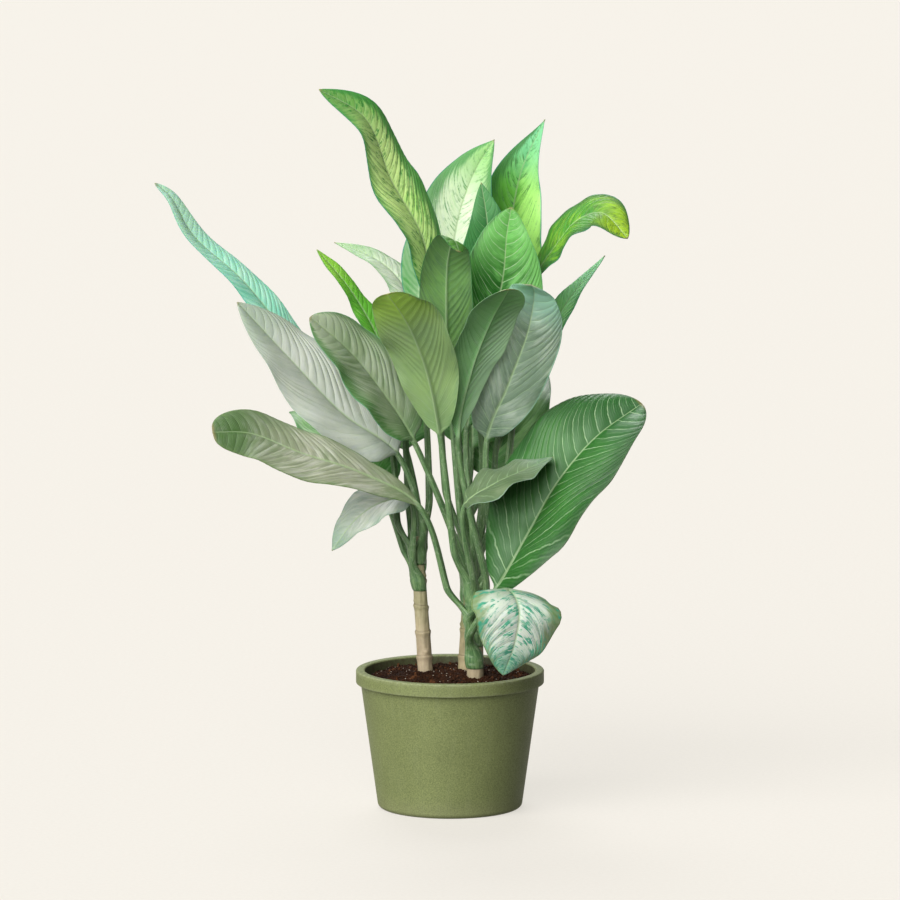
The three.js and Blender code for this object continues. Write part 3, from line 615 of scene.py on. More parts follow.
# The last tone below, #454a30, is painted shade on the pot's inside under the rim; earth is a real soil
# stain over it.
POT_TONES = dict(
    plain="#98a366", shade="#87915a", speck="#636d44", streak="#9ca577", worn="#c3c8a2",
    dusty="#a39b80", earth="#4b3a2a", damp_and_painted_shade="#454a30")
POT_COVER = dict(shade=0.5, speck=0.7, streak=0.14, worn=0.5, dusty=0.3, earth=0.6, damp_and_painted_shade=0.8)
PAINTED_SHADE_BELOW_RIM = (2, 0.7)  # painted shade on the inside: how far below the rim it is full, and where it begins
DUST_HEIGHT = 0.022  # metres above the floor


def pot_finish():
    """Sage green matte plastic: fine moulded grain, worn rim edges, a little dust low down, and painted
    shade on the inside below the rim.
    """
    material, w = new_material("pot_finish")
    place = w.object_place()
    grain = w.group(GRAIN, Place=place, Size=0.0011)
    height = w.parts(place)[2]
    # where the painted shade on the inside is full, and where it begins below the rim
    inside_shade_from, inside_shade_to = (MM * (POT_HEIGHT - drop) for drop in PAINTED_SHADE_BELOW_RIM)
    below = w.between(height, inside_shade_from, inside_shade_to, 1.0, 0.0)
    inner = w.math("MULTIPLY", w.attribute("inner", "Fac"), below)
    streaks = w.noise(w.vector("MULTIPLY", place, (1, 1, 0.08)), 160.0, 3.0, 0.6)
    scuffs = w.between(w.noise(place, 420.0, 4.0, 0.7), 0.35, 0.62)
    low = w.between(height, 0.0, DUST_HEIGHT, 1.0, 0.0)
    dust = w.math("MULTIPLY", low, w.noise(place, 300.0, 4.0, 0.7))
    soiled = w.between(w.noise(place, 240.0, 5.0, 0.7), 0.42, 0.62)
    layers = (
        ("shade", grain["Cloud"]),
        ("speck", grain["Grain"]),
        ("streak", w.between(streaks, 0.45, 0.75)),
        ("worn", w.math("MULTIPLY", w.attribute("wear", "Fac"), scuffs)),
        ("dusty", dust),
        # painted shade on the pot's inside below the rim
        ("damp_and_painted_shade", inner),
        ("earth", w.math("MULTIPLY", inner, soiled)),
    )
    color = tint(POT_TONES["plain"], POT_GAIN)
    for layer, mask in layers:
        share = w.math("MULTIPLY", mask, POT_COVER[layer])
        color = w.mix(share, color, tint(POT_TONES[layer], POT_GAIN))
    rough = w.between(grain["Grain"], 0.0, 1.0, 0.52, 0.68)
    rough = w.math("MULTIPLY_ADD", dust, 0.15, rough)
    w.finish(color, rough, w.bump(grain["Height"], 0.32, 0.0004), Specular_IOR_Level=0.28)
    return material


MOIST_EARTH = (0.62, 0.58, 0.56, 1)  # what moisture and dryness make of the earth's own colour
DRY_EARTH = (1.1, 1.08, 1.05, 1)


def earth_finish(name, dark, light, size, bump):
    """Crumbly earth, bark or perlite, darker where it is moist."""
    material, w = new_material(f"{name}_finish")
    place = w.object_place()
    grain = w.group(GRAIN, Place=place, Size=size)
    # on the earth this noise only marks its moist and dry patches
    damp_and_painted_shade = w.noise(place, 45.0, 3.0, 0.5)
    color = w.mix(grain["Grain"], tint(dark), tint(light))
    color = w.shade(color, w.mix(w.between(damp_and_painted_shade, 0.35, 0.65), MOIST_EARTH, DRY_EARTH))
    rough = w.between(damp_and_painted_shade, 0.3, 0.7, 0.8, 0.95)
    w.finish(color, rough, w.bump(grain["Height"], 0.8, bump), Specular_IOR_Level=0.12)
    return material


FLOOR_TONES = ("#6a6763", "#706d69")
FLOOR_GLOW_TONE = "#f7f3ea"
FLOOR_GLOW = 0.698  # a lit table, so that the plant's own shadow stays faint


def floor_finish():
    """Pale paper with a faint glow."""
    material, w = new_material("floor_finish")
    place = w.object_place()
    paper = w.noise(place, 260.0, 3.0, 0.6)
    color = w.mix(w.between(paper, 0.3, 0.7), tint(FLOOR_TONES[0]), tint(FLOOR_TONES[1]))
    w.finish(
        color, 0.9, w.bump(paper, 0.05, 0.0002), Specular_IOR_Level=0.1,
        Emission_Color=tint(FLOOR_GLOW_TONE), Emission_Strength=FLOOR_GLOW,
    )
    return material


# ------------------------------------------------------------------ canes

def cane_axis(cane, height):
    """Middle and radius of a cane at a height, for one height or an array of them."""
    foot, top = (np.array(cane[end], float) for end in ("foot", "top"))
    share = (np.asarray(height, float) - foot[2]) / (top[2] - foot[2])
    middle = foot + share[..., None] * (top - foot)
    return middle, cane["radii"][0] + share * (cane["radii"][1] - cane["radii"][0])


CANE_SIDES = 64
CANE_STEP = 0.9
CANE_TOP_ROUNDING = 3.5
CANE_FLUTES = (0.12, 0.1)  # depths of two slow unevennesses round the cane
BARE_TOP = 12  # without scars
SCAR_TILT = 1.6  # how far a scar runs askew, from one side of the cane to the other
SCAR_TURN = 2.4  # radians from one old leaf's side to the next one's
SCAR_SLOPES = (3.2, 0.8)  # how gently the cane swells below a scar, and above it
SCAR_LINE = (0.9, 0.55)  # the dark line's height over the scar's edge, and its half width
BUD_RISE = 1.1  # a dormant bud over each scar
BUD_PLACE = (4, 1.9)  # its height over the scar's edge, and its half height
BUD_WIDTH = 0.3  # radians


def cane_piece(place, cane, material, slot, seed):
    """One cane with the scars and dormant buds of its old leaves."""
    foot, top = cane["foot"][2], cane["top"][2]
    shoulder = top - CANE_TOP_ROUNDING
    heights = np.arange(foot, shoulder, CANE_STEP)
    heights = np.append(heights, shoulder + CANE_TOP_ROUNDING * np.sin(np.linspace(0.1, np.pi / 2, 7)))
    middle, radius = cane_axis(cane, heights)
    angles = np.linspace(0, 2 * np.pi, CANE_SIDES, endpoint=False)
    around, height = np.meshgrid(angles, heights)
    drop = np.clip((height - shoulder) / CANE_TOP_ROUNDING, 0, 1)
    scars = np.arange(foot + SCAR_SPACING, top - BARE_TOP, SCAR_SPACING)
    swell = np.zeros_like(height)
    scar = np.zeros_like(height)
    for i, level in enumerate(scars):
        turn = seed + SCAR_TURN * i
        offset = height - level - SCAR_TILT * 0.5 * np.cos(around - turn)
        slope = np.where(offset < 0, *SCAR_SLOPES)
        swell += SCAR_RISE * np.exp(-(offset / slope) ** 2)
        scar += np.exp(-((offset - SCAR_LINE[0]) / SCAR_LINE[1]) ** 2)
        lift = np.exp(-((offset - BUD_PLACE[0]) / BUD_PLACE[1]) ** 2)
        away = np.angle(np.exp(1j * (around - turn)))
        swell += BUD_RISE * lift * np.exp(-(away / BUD_WIDTH) ** 2)
    slow = CANE_FLUTES[0] * np.sin(5 * around + 0.05 * height + seed)
    swell += slow + CANE_FLUTES[1] * np.sin(9 * around - 0.11 * height)
    reach = (radius[:, None] + swell) * np.sqrt(np.clip(1 - 0.72 * drop ** 2, 0, 1))
    points = np.stack([
        middle[:, 0:1] + reach * np.cos(around),
        middle[:, 1:2] + reach * np.sin(around),
        height,
    ], -1)
    rings = len(heights)
    faces = ring_faces(rings, CANE_SIDES).tolist()
    faces.append(list(range(CANE_SIDES))[::-1])
    faces.append([(rings - 1) * CANE_SIDES + j for j in range(CANE_SIDES)])
    name = f"cane_{place}"
    mesh = mesh_of(f"{name}_stem", points.reshape(-1, 3), faces)
    write_values(mesh, "scar", "FLOAT", np.clip(scar, 0, 1))
    return finished(f"{name}_stem", mesh, material, slot, name)


# ------------------------------------------------------------------ leaves

CURVE_STEPS = 40
COLUMNS = 17  # on each half of a blade
COLUMN_CROWDING = 1.45  # how much closer the columns lie at the midrib
RINGS_PER_VEIN = 8
VEIN_SPACING = (5.5, 0.07)  # along the midrib: a length, and a share of the blade's width
VEIN_SWEEP = 1.3  # how far the side veins run on towards the tip, as a share of the width
LARGEST_SWEEP = 0.66  # of the blade's length
FEWEST_VEINS = 7  # on each side of a blade
EDGE_COLUMN = 0.985  # a column close to the edge keeps it crisp
STALK_RINGS = 44
SEAT_STANDOFF = 0.55  # from the cane's bark, as a share of the stalk's radius
SHEATH_RINGS = 8
SHEATH_SHARE = 0.3  # of the stalk's length, over which its sheath closes to a round
SHEATH_THICKNESS = 3.6
SHEATH_WRAP = (1.5, 0.6)  # radians either way round the cane, at the stalk's foot and where it is round
SHEATH_FLARE = 0.25  # radians that its lowest end reaches farther
SHEATH_EDGES = (0.35, -0.25)  # how thick the sheath's edges are, and how far it sinks into the cane
STALK_GROOVES = (0.34, 0.16)  # depth of the channel at root and neck, as a share of the radius
GROOVE_HALF_WIDTH = 0.5  # radians
GROOVE_LIP = (0.25, 0.95, 0.35)  # its height as a share of the depth, then its place and half width
NECK_SHARE = 0.05  # of the blade's length, over which the stalk flattens into it
WAVE_LAG = 0.35  # how far the waves of one edge run behind those of the other
VEIN_GROOVE = 0.26  # how deep a side vein lies
VEIN_HALF_WIDTH = 0.09  # as a share of their spacing
VEIN_PUFF = 0.04  # how high the blade swells between two of them, as a share of their spacing
RUFFLE = 0.45  # the height of the fine waves along the edge
RUFFLE_COUNT = 6.3
RUFFLE_LAG = 1.9  # radians
RIB_HALF_WIDTH = (1.3, 1.9)  # at the tip, and what the neck has more
RIB_CHANNEL = 0.55  # how deep the midrib lies in the upper side
CHANNEL_SHARE = 0.45  # of the midrib's half width
PATTERN_UNIT = 10  # the patterns on a leaf are measured in centimetres
SEED_SPREAD = 10  # how far apart two leaves' patterns lie


def leaf_route(leaf):
    """Fine points along stalk and blade on one centripetal curve."""
    place, node, turn, lean = leaf["seat"]
    cane = CANES[place]
    middle, radius = cane_axis(cane, node)
    out = np.array([math.cos(math.radians(turn)), math.sin(math.radians(turn)), 0])
    seat = middle + out * (radius + SEAT_STANDOFF * STALK_ROOT_RADIUS)
    rise = seat + out * lean + np.array([0, 0, STALK_FIRST_RISE])
    marks = np.array([seat, rise, *leaf["path"]], float)
    marks = np.vstack([2 * marks[0] - marks[1], marks, 2 * marks[-1] - marks[-2]])
    share = (np.arange(CURVE_STEPS) / CURVE_STEPS)[:, None]
    fine = []
    for a, b, c, d in zip(marks, marks[1:], marks[2:], marks[3:]):
        ab, bc, cd = (np.linalg.norm(q - p) ** 0.5 for p, q in ((a, b), (b, c), (c, d)))
        leave = ((b - a) / ab - (c - a) / (ab + bc) + (c - b) / bc) * bc
        meet = ((c - b) / bc - (d - b) / (bc + cd) + (d - c) / cd) * bc
        quadratic = 3 * (c - b) - 2 * leave - meet
        cubic = 2 * b - 2 * c + leave + meet
        fine.append(b + leave * share + quadratic * share ** 2 + cubic * share ** 3)
    fine = np.vstack([*fine, marks[-2]])
    neck = 2 * CURVE_STEPS
    return fine[:neck + 1], fine[neck:], out


class Line:
    """A polyline read by its share of length: place, heading and the carried upper side."""

    def __init__(self, points, first_up):
        steps = np.linalg.norm(np.diff(points, axis=0), axis=1)
        self.length = steps.sum()
        self.shares = np.append(0, np.cumsum(steps)) / self.length
        self.points = points
        self.headings = unit(np.gradient(points, axis=0))
        ups = [square(first_up, self.headings[0])]
        for heading in self.headings[1:]:
            ups.append(square(ups[-1], heading))
        self.ups = np.array(ups)

    def read(self, rows, shares):
        return np.stack([np.interp(shares, self.shares, rows[:, k]) for k in range(3)], -1)

    def at(self, shares):
        headings = unit(self.read(self.headings, shares))
        ups = square(self.read(self.ups, shares), headings)
        return self.read(self.points, shares), headings, ups, np.cross(headings, ups)


def half_width(leaf, t):
    """Half the blade's width at a share of its length."""
    widen, narrow = leaf["shape"]
    widest = widen / (widen + narrow)
    full = widest ** widen * (1 - widest) ** narrow
    return leaf["width"] / 2 * t ** widen * (1 - t) ** narrow / full


def blade_height(leaf, half, s, t):
    """How far the blade stands over its midrib: its fold, its arch and its waves."""
    side = np.where(s < 0, WAVE_LAG, 0)
    wave = leaf["wave"] * np.sin(2 * np.pi * (WAVE_COUNT * t + side)) * s ** 2
    fold = np.abs(s) * math.sin(math.radians(leaf["fold"])) - BLADE_ARCH * s ** 2
    return half * fold + wave * np.minimum(1, 2 * half / leaf["width"])


def blade_columns():
    """Places across the blade, from -1 at one edge to 1 at the other."""
    inner = np.linspace(0, 1, COLUMNS + 1)[1:] ** COLUMN_CROWDING
    inner = np.append(inner[:-1], [EDGE_COLUMN, 1])
    return np.concatenate([-inner[::-1], [0], inner])


def stalk_outline(count, groove):
    """Unit outline of a stalk with a channel along its upper side, upper half then lower."""
    angle = np.pi * (1 - (np.arange(2 * count) + 0.5) / count)
    away = np.angle(np.exp(1j * (angle - np.pi / 2)))
    rise, place, half = GROOVE_LIP
    radius = 1 - groove * np.exp(-(away / GROOVE_HALF_WIDTH) ** 2)
    radius += rise * groove * np.exp(-((np.abs(away) - place) / half) ** 2)
    return radius * np.cos(angle), radius * np.sin(angle)


def blade_rings(leaf, blade, columns, seed):
    """Points of the blade, ring by ring, each ring swept forward along the side veins."""
    spacing = VEIN_SPACING[0] + VEIN_SPACING[1] * leaf["width"]
    veins = max(FEWEST_VEINS, round(blade.length / spacing))
    q = np.linspace(0, 1, veins * RINGS_PER_VEIN + 1)[:, None]
    s = np.concatenate([columns, columns[::-1]])[None]
    lower = (np.arange(s.size) >= columns.size)[None]
    sweep = min(LARGEST_SWEEP, VEIN_SWEEP * leaf["width"] / blade.length)
    sweep = sweep * (0.5 * np.abs(s) + 0.5 * np.abs(s) ** 1.8)
    t = q + sweep * smooth(0, 0.28, q) * (1 - q)
    centre, _, up, across = blade.at(t)
    half = np.maximum(TIP_HALF_WIDTH, half_width(leaf, t))
    x = s * half * math.cos(math.radians(leaf["fold"]))
    y = blade_height(leaf, half, s, t)
    opened = np.minimum(1, 2 * half / leaf["width"])
    ruffle = np.sin(2 * np.pi * (RUFFLE_COUNT * t + seed) + np.where(s < 0, RUFFLE_LAG, 0))
    y = y + RUFFLE * opened * s ** 2 * ruffle

    phase = q * veins + np.where(s < 0, 0.5, 0)
    from_vein = np.abs((phase + 0.5) % 1 - 0.5)
    fade = smooth(0.0, 0.14, np.abs(s)) * (1 - 0.55 * np.abs(s) ** 3) * opened * smooth(0.02, 0.1, t)
    puffed = VEIN_PUFF * spacing * np.sin(np.pi * from_vein) ** 1.3
    quilt = fade * (puffed - VEIN_GROOVE * np.exp(-(from_vein / VEIN_HALF_WIDTH) ** 2))

    rib_half = RIB_HALF_WIDTH[0] + RIB_HALF_WIDTH[1] * (1 - t)
    rib = np.where(np.abs(x) < rib_half, np.cos(np.pi / 2 * x / rib_half) ** 2, 0)
    channel = np.exp(-(x / (CHANNEL_SHARE * rib_half)) ** 2)
    thick = EDGE_THICKNESS + (BLADE_THICKNESS - EDGE_THICKNESS) * (1 - s ** 6)
    over = y + thick / 2 + quilt - RIB_CHANNEL * (1 - t) ** 0.7 * channel
    beneath = y - thick / 2 + 0.8 * quilt - RIB_DEPTH * (1 - t) ** 1.2 * rib
    y = np.where(lower, beneath, over)

    round_x, round_y = stalk_outline(columns.size, STALK_GROOVES[1])
    flat = smooth(0, NECK_SHARE, t)
    x = (1 - flat) * STALK_NECK_RADIUS * round_x + flat * x
    y = (1 - flat) * STALK_NECK_RADIUS * round_y + flat * y
    points = centre + across * x[..., None] + up * y[..., None]
    growth = np.stack([phase + 0 * t, np.broadcast_to(s, t.shape), t], -1)
    spread = np.stack([
        s * half / PATTERN_UNIT, t * blade.length / PATTERN_UNIT, 0 * t + seed * SEED_SPREAD], -1)
    under = np.broadcast_to(lower, t.shape) * 1.0
    return points, growth, spread, under, 1 - smooth(0.0, 0.035, t)


def stalk_rings(leaf, stalk, out, columns, seed):
    """Points of the stalk: a sheath that clasps the cane, closing to a channelled round."""
    place, node, _, _ = leaf["seat"]
    cane = CANES[place]
    count = columns.size
    u = np.linspace(0, 1, STALK_RINGS, endpoint=False) ** 1.25
    centre, heading, up, _ = stalk.at(1 - u)
    heading = -heading
    twist_to = square(-out, heading[0])
    angle = math.atan2(np.dot(np.cross(up[0], twist_to), heading[0]), np.dot(up[0], twist_to))
    turn = (angle * (1 - smooth(0.0, 0.75, u)))[:, None]
    up = up * np.cos(turn) + np.cross(heading, up) * np.sin(turn)
    across = np.cross(heading, up)
    radius = (STALK_ROOT_RADIUS + (STALK_NECK_RADIUS - STALK_ROOT_RADIUS) * u)[:, None]
    groove = STALK_GROOVES[0] + (STALK_GROOVES[1] - STALK_GROOVES[0]) * u
    outlines = np.array([stalk_outline(count, g) for g in groove])
    rod = (centre[:, None] + across[:, None] * (radius * outlines[:, 0])[..., None]
           + up[:, None] * (radius * outlines[:, 1])[..., None])

    j = np.concatenate([np.linspace(-1, 1, count), np.linspace(1, -1, count)])
    lower = np.arange(2 * count) >= count
    side = np.cross(np.array([0, 0, 1.0]), -out)

    def clasp(height, wrap, thick):
        """A crescent round the cane at a height: wrap in radians either way, thick in the middle."""
        middle, radius = cane_axis(cane, height)
        rim, sunk = SHEATH_EDGES
        far = radius + np.where(lower, rim + thick * np.cos(j * np.pi / 2) ** 0.7, sunk)
        way = np.cos(j * wrap)[:, None] * out + np.sin(j * wrap)[:, None] * side
        return middle + far[:, None] * way

    heights = np.maximum(centre[:, 2], node)
    closing = smooth(0, SHEATH_SHARE, u)
    wide, narrow = SHEATH_WRAP
    rings = []
    for i in range(len(u)):
        hug = clasp(heights[i], wide - (wide - narrow) * closing[i], SHEATH_THICKNESS)
        rings.append(hug * (1 - closing[i]) + rod[i] * closing[i])
    drops = np.linspace(1, 0, SHEATH_RINGS, endpoint=False)
    low = [clasp(node - STALK_ROOT_DROP * d, wide + SHEATH_FLARE * d, SHEATH_THICKNESS * (1 - d) ** 0.6)
           for d in drops]
    points = np.array(low + rings)
    shares = np.concatenate([np.zeros(SHEATH_RINGS), u])
    shape = points.shape[:2]
    run = (shares - 1)[:, None] * stalk.length / PATTERN_UNIT
    run[:SHEATH_RINGS] -= drops[:, None] * STALK_ROOT_DROP / PATTERN_UNIT
    growth = np.zeros((*shape, 3))
    spread = np.stack([np.broadcast_to(j * 0.9, shape), np.broadcast_to(run, shape),
                       np.full(shape, seed * SEED_SPREAD)], -1)
    return points, growth, spread, np.zeros(shape), np.ones(shape)


def leaf_piece(name, leaf, dress, seed):
    """One leaf: its sheath and stalk, then its blade, in one closed skin."""
    stalk_points, blade_points, out = leaf_route(leaf)
    turn, height = (math.radians(a) for a in leaf["face"])
    level = math.cos(height)
    facing = np.array([level * math.cos(turn), level * math.sin(turn), math.sin(height)])
    heading = unit(blade_points[1] - blade_points[0])
    neck_up = square(facing, heading)
    columns = blade_columns()
    blade = Line(blade_points, neck_up)
    stalk = Line(stalk_points[::-1], neck_up)
    parts = [stalk_rings(leaf, stalk, out, columns, seed), blade_rings(leaf, blade, columns, seed)]
    points, growth, spread, under, on_stalk = (np.concatenate(rows) for rows in zip(*parts))
    rings, sides = points.shape[:2]
    ends = [points[0].mean(0), points[-1].mean(0)]
    mesh = mesh_of(f"{name}_blade", np.vstack([points.reshape(-1, 3), ends]), capped_faces(rings, sides))

    def padded(rows, width):
        rows = rows.reshape(-1, width)
        return np.vstack([rows, rows[0], rows[-1]])

    write_values(mesh, "growth", "FLOAT_VECTOR", padded(growth, 3))
    write_values(mesh, "spread", "FLOAT_VECTOR", padded(spread, 3))
    write_values(mesh, "under", "FLOAT", padded(under, 1))
    write_values(mesh, "stalk", "FLOAT", padded(on_stalk, 1))
    return finished(f"{name}_blade", mesh, leaf_finish(name, dress), dress[-1], name)


# ------------------------------------------------------------------ pot

POT_BASE_RADIUS = 65
POT_WALL = 5.5
POT_FLOOR = 4
POT_COLLAR_HEIGHT = 12
POT_COLLAR_STEP = 2.6
POT_BASE_ROUNDING = 5
POT_RIM_ROUNDING = 1.6
POT_COLLAR_ROUNDING = 0.9
POT_SIDES = 192
POT_SHARP_ANGLE = 40
RIM_WEAR = (1.2, 1.6)  # how far the worn edge reaches sideways, and how far down
DRAIN_HOLES = 5
DRAIN_HOLE_RADIUS = 5
DRAIN_CIRCLE_RADIUS = 38
DRAIN_SIDES = 48
DRAIN_CUT = (-6, 10)  # from below the floor's underside to above its upper side
SOIL_LEVEL = 118
SOIL_MOUND = 3
SOIL_RELIEF = 1.5

POT_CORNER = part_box("pot")[1]
POT_HEIGHT = POT_CORNER.z / MM
POT_RIM_RADIUS = POT_CORNER.x / MM


def pot_inside(z):
    """Radius of the pot's inner wall at a height."""
    low = POT_BASE_RADIUS - POT_WALL
    high = POT_RIM_RADIUS - POT_COLLAR_STEP - POT_WALL
    return low + (high - low) * z / POT_HEIGHT


def arc(cx, cz, radius, start, end, steps):
    """Points on a rounded edge, from one direction to another in degrees."""
    angles = np.radians(np.linspace(start, end, steps + 1))
    return [(cx + radius * math.cos(a), cz + radius * math.sin(a)) for a in angles]


def straight(a, b, steps):
    """Points between two corners, without the corners."""
    (ax, az), (bx, bz) = a, b
    return [(ax + (bx - ax) * i / steps, az + (bz - az) * i / steps) for i in range(1, steps)]


def pot_profile():
    """The wall's section from the middle of the base, up the outside and down the inside."""
    bend, lip, edge = POT_BASE_ROUNDING, POT_RIM_ROUNDING, POT_COLLAR_ROUNDING
    under = POT_HEIGHT - POT_COLLAR_HEIGHT
    wall_top = (pot_inside(under - 1) + POT_WALL, under - 1)
    foot = arc(pot_inside(bend) + POT_WALL - bend, bend, bend, -90, 0, 10)
    collar = arc(POT_RIM_RADIUS - edge, under + edge, edge, -90, 0, 5)
    fillet = [(wall_top[0] + 0.25, under - 0.4), (wall_top[0] + 0.8, under - 0.05)]
    rim = arc(POT_RIM_RADIUS - lip, POT_HEIGHT - lip, lip, 0, 90, 7)
    mouth = arc(pot_inside(POT_HEIGHT) + lip, POT_HEIGHT - lip, lip, 90, 180, 7)
    floor = (pot_inside(POT_FLOOR), POT_FLOOR)
    return [
        *straight((0, 0), foot[0], 6), *foot, *straight(foot[-1], wall_top, 24), wall_top, *fillet,
        *collar, *straight(collar[-1], rim[0], 4), *rim, *straight(rim[-1], mouth[0], 3), *mouth,
        *straight(mouth[-1], floor, 16), floor, *straight(floor, (0, POT_FLOOR), 6),
    ]


def lathe(name, profile, sides):
    """A closed body turned about Z from a section whose ends lie near the axis."""
    rim = np.array(profile)
    angles = np.linspace(0, 2 * np.pi, sides, endpoint=False)
    points = np.stack([
        rim[:, 0:1] * np.cos(angles), rim[:, 0:1] * np.sin(angles),
        np.broadcast_to(rim[:, 1:2], (len(rim), sides)),
    ], -1).reshape(-1, 3)
    points = np.vstack([points, [0, 0, rim[0, 1]], [0, 0, rim[-1, 1]]])
    return mesh_of(name, points, capped_faces(len(rim), sides))


def evaluated_mesh(holder):
    """The plain mesh that an object's modifiers make; the object itself is dropped."""
    bpy.context.view_layer.update()
    graph = bpy.context.evaluated_depsgraph_get()
    mesh = bpy.data.meshes.new_from_object(holder.evaluated_get(graph))
    bpy.data.objects.remove(holder)
    return mesh


def holder_of(mesh):
    """An object for a mesh that modifiers are still to change."""
    holder = bpy.data.objects.new(mesh.name, mesh)
    bpy.context.scene.collection.objects.link(holder)
    return holder


def drain_cutters():
    """Upright rods through the pot's floor, one for each drain hole."""
    sides = range(DRAIN_SIDES)
    around = [2 * math.pi * j / DRAIN_SIDES for j in sides]
    points, faces = [], []
    for i in range(DRAIN_HOLES):
        turn = 2 * math.pi * i / DRAIN_HOLES
        x, y = DRAIN_CIRCLE_RADIUS * math.cos(turn), DRAIN_CIRCLE_RADIUS * math.sin(turn)
        first = len(points)
        points += [(x + DRAIN_HOLE_RADIUS * math.cos(a), y + DRAIN_HOLE_RADIUS * math.sin(a), z)
                   for z in DRAIN_CUT for a in around]
        faces += [[first + a for a in face] for face in ring_faces(2, DRAIN_SIDES).tolist()]
        faces.append([first + j for j in sides][::-1])
        faces.append([first + DRAIN_SIDES + j for j in sides])
    return holder_of(mesh_of("drain_cutters", points, faces))


def pot_piece():
    """The pot, turned in one piece and drilled; its worn edges and its inside are marked."""
    body = holder_of(lathe("pot_wall", pot_profile(), POT_SIDES))
    cutters = drain_cutters()
    cut = body.modifiers.new("drain", "BOOLEAN")
    cut.operation = "DIFFERENCE"
    cut.solver = "EXACT"
    cut.object = cutters
    mesh = evaluated_mesh(body)
    bpy.data.objects.remove(cutters)
    mesh.shade_smooth()
    mesh.set_sharp_from_angle(angle=math.radians(POT_SHARP_ANGLE))
    at = np.array([v.co for v in mesh.vertices]) / MM
    reach, height = np.hypot(at[:, 0], at[:, 1]), at[:, 2]
    under = POT_HEIGHT - POT_COLLAR_HEIGHT
    side, down = RIM_WEAR
    wear = np.exp(-((reach - POT_RIM_RADIUS) / side) ** 2) * (
        np.exp(-((height - POT_HEIGHT) / down) ** 2) + 0.6 * np.exp(-((height - under) / side) ** 2))
    wear += 0.7 * np.exp(-((reach - pot_inside(POT_HEIGHT)) / side) ** 2) * (height > POT_HEIGHT - 2)
    inner = (reach < pot_inside(height) + 0.5) & (height > POT_FLOOR - 0.5)
    write_values(mesh, "wear", "FLOAT", np.clip(wear, 0, 1))
    write_values(mesh, "inner", "FLOAT", inner.astype(float))
    return finished("pot_wall", mesh, pot_finish(), "pot", "pot")


# ------------------------------------------------------------------ soil

SOIL_SIDES = 200
SOIL_STEP = 1.1
SOIL_GAP = 0.3
SOIL_RADIUS = 75  # roughly
LUMP_SIZE = 7
CRUMB_SIZE = 2.2
SOIL_DIP = (1.4, 2.5)  # right at a cane: how deep, and how far it reaches
SOIL_HEAP = (1.6, 7, 5)  # the ring of soil pressed up round it: how high, how far off, how wide
SOIL_RIM_DIP = (0.8, 4)  # along the pot's wall: how deep, and how far it reaches


def soil_height(x, y, share):
    """Height of the soil at a place; share is 0 in the middle of the pot and 1 at its wall."""
    crumbs = math.sin(x * 0.31 + 1.3 * math.sin(y * 0.23)) * math.cos(y * 0.27 + x * 0.11)
    at = Vector((x, y, 0))
    lumps = noise.fractal(at / LUMP_SIZE, 1, 2, 4) * 0.75 + noise.noise(at / CRUMB_SIZE) * 0.4
    slump = 0
    for cane in CANES.values():
        middle, radius = cane_axis(cane, SOIL_LEVEL)
        away = math.hypot(x - middle[0], y - middle[1]) - radius
        dip = SOIL_DIP[0] * math.exp(-(away / SOIL_DIP[1]) ** 2)
        slump += dip - SOIL_HEAP[0] * math.exp(-((away - SOIL_HEAP[1]) / SOIL_HEAP[2]) ** 2)
    from_wall = (1 - share) * SOIL_RADIUS
    rim = SOIL_RIM_DIP[0] * math.exp(-(from_wall / SOIL_RIM_DIP[1]) ** 2)
    return SOIL_LEVEL + SOIL_MOUND * (1 - share ** 2) + SOIL_RELIEF * crumbs + lumps - slump * 0.6 - rim


def soil_piece(material):
    """The bed of soil: an uneven top, then its side down to the pot's floor."""
    full = pot_inside(SOIL_LEVEL) - SOIL_GAP
    reaches = np.append(np.arange(SOIL_STEP, full - 0.5, SOIL_STEP), full)
    points, count = [], SOIL_SIDES
    around = [2 * math.pi * j / count for j in range(count)]
    for reach in reaches:
        for a in around:
            x, y = reach * math.cos(a), reach * math.sin(a)
            points.append((x, y, soil_height(x, y, reach / full)))
    bottom = POT_FLOOR + SOIL_GAP
    for z in np.linspace(SOIL_LEVEL - 4, bottom, 8):
        reach = pot_inside(z) - SOIL_GAP
        points += [(reach * math.cos(a), reach * math.sin(a), z) for a in around]
    rings = len(points) // count
    faces = ring_faces(rings, count)[:, ::-1].tolist()
    middle, under = len(points), len(points) + 1
    points += [(0, 0, soil_height(0, 0, 0)), (0, 0, bottom)]
    last = (rings - 1) * count
    faces += [[j, (j + 1) % count, middle] for j in range(count)]
    faces += [[last + (j + 1) % count, last + j, under] for j in range(count)]
    return finished("soil_bed", mesh_of("soil_bed", points, faces), material, "soil", "soil")


STEEPEST = 0.4  # no grain lies where the soil's upward share is less
FULL_TURN = 6.3
SMALL_GRAINS = 2.2  # the higher, the more of the grains are small ones
GRAIN_DENTS = 0.0011  # metres, how far a grain's corners are pushed about


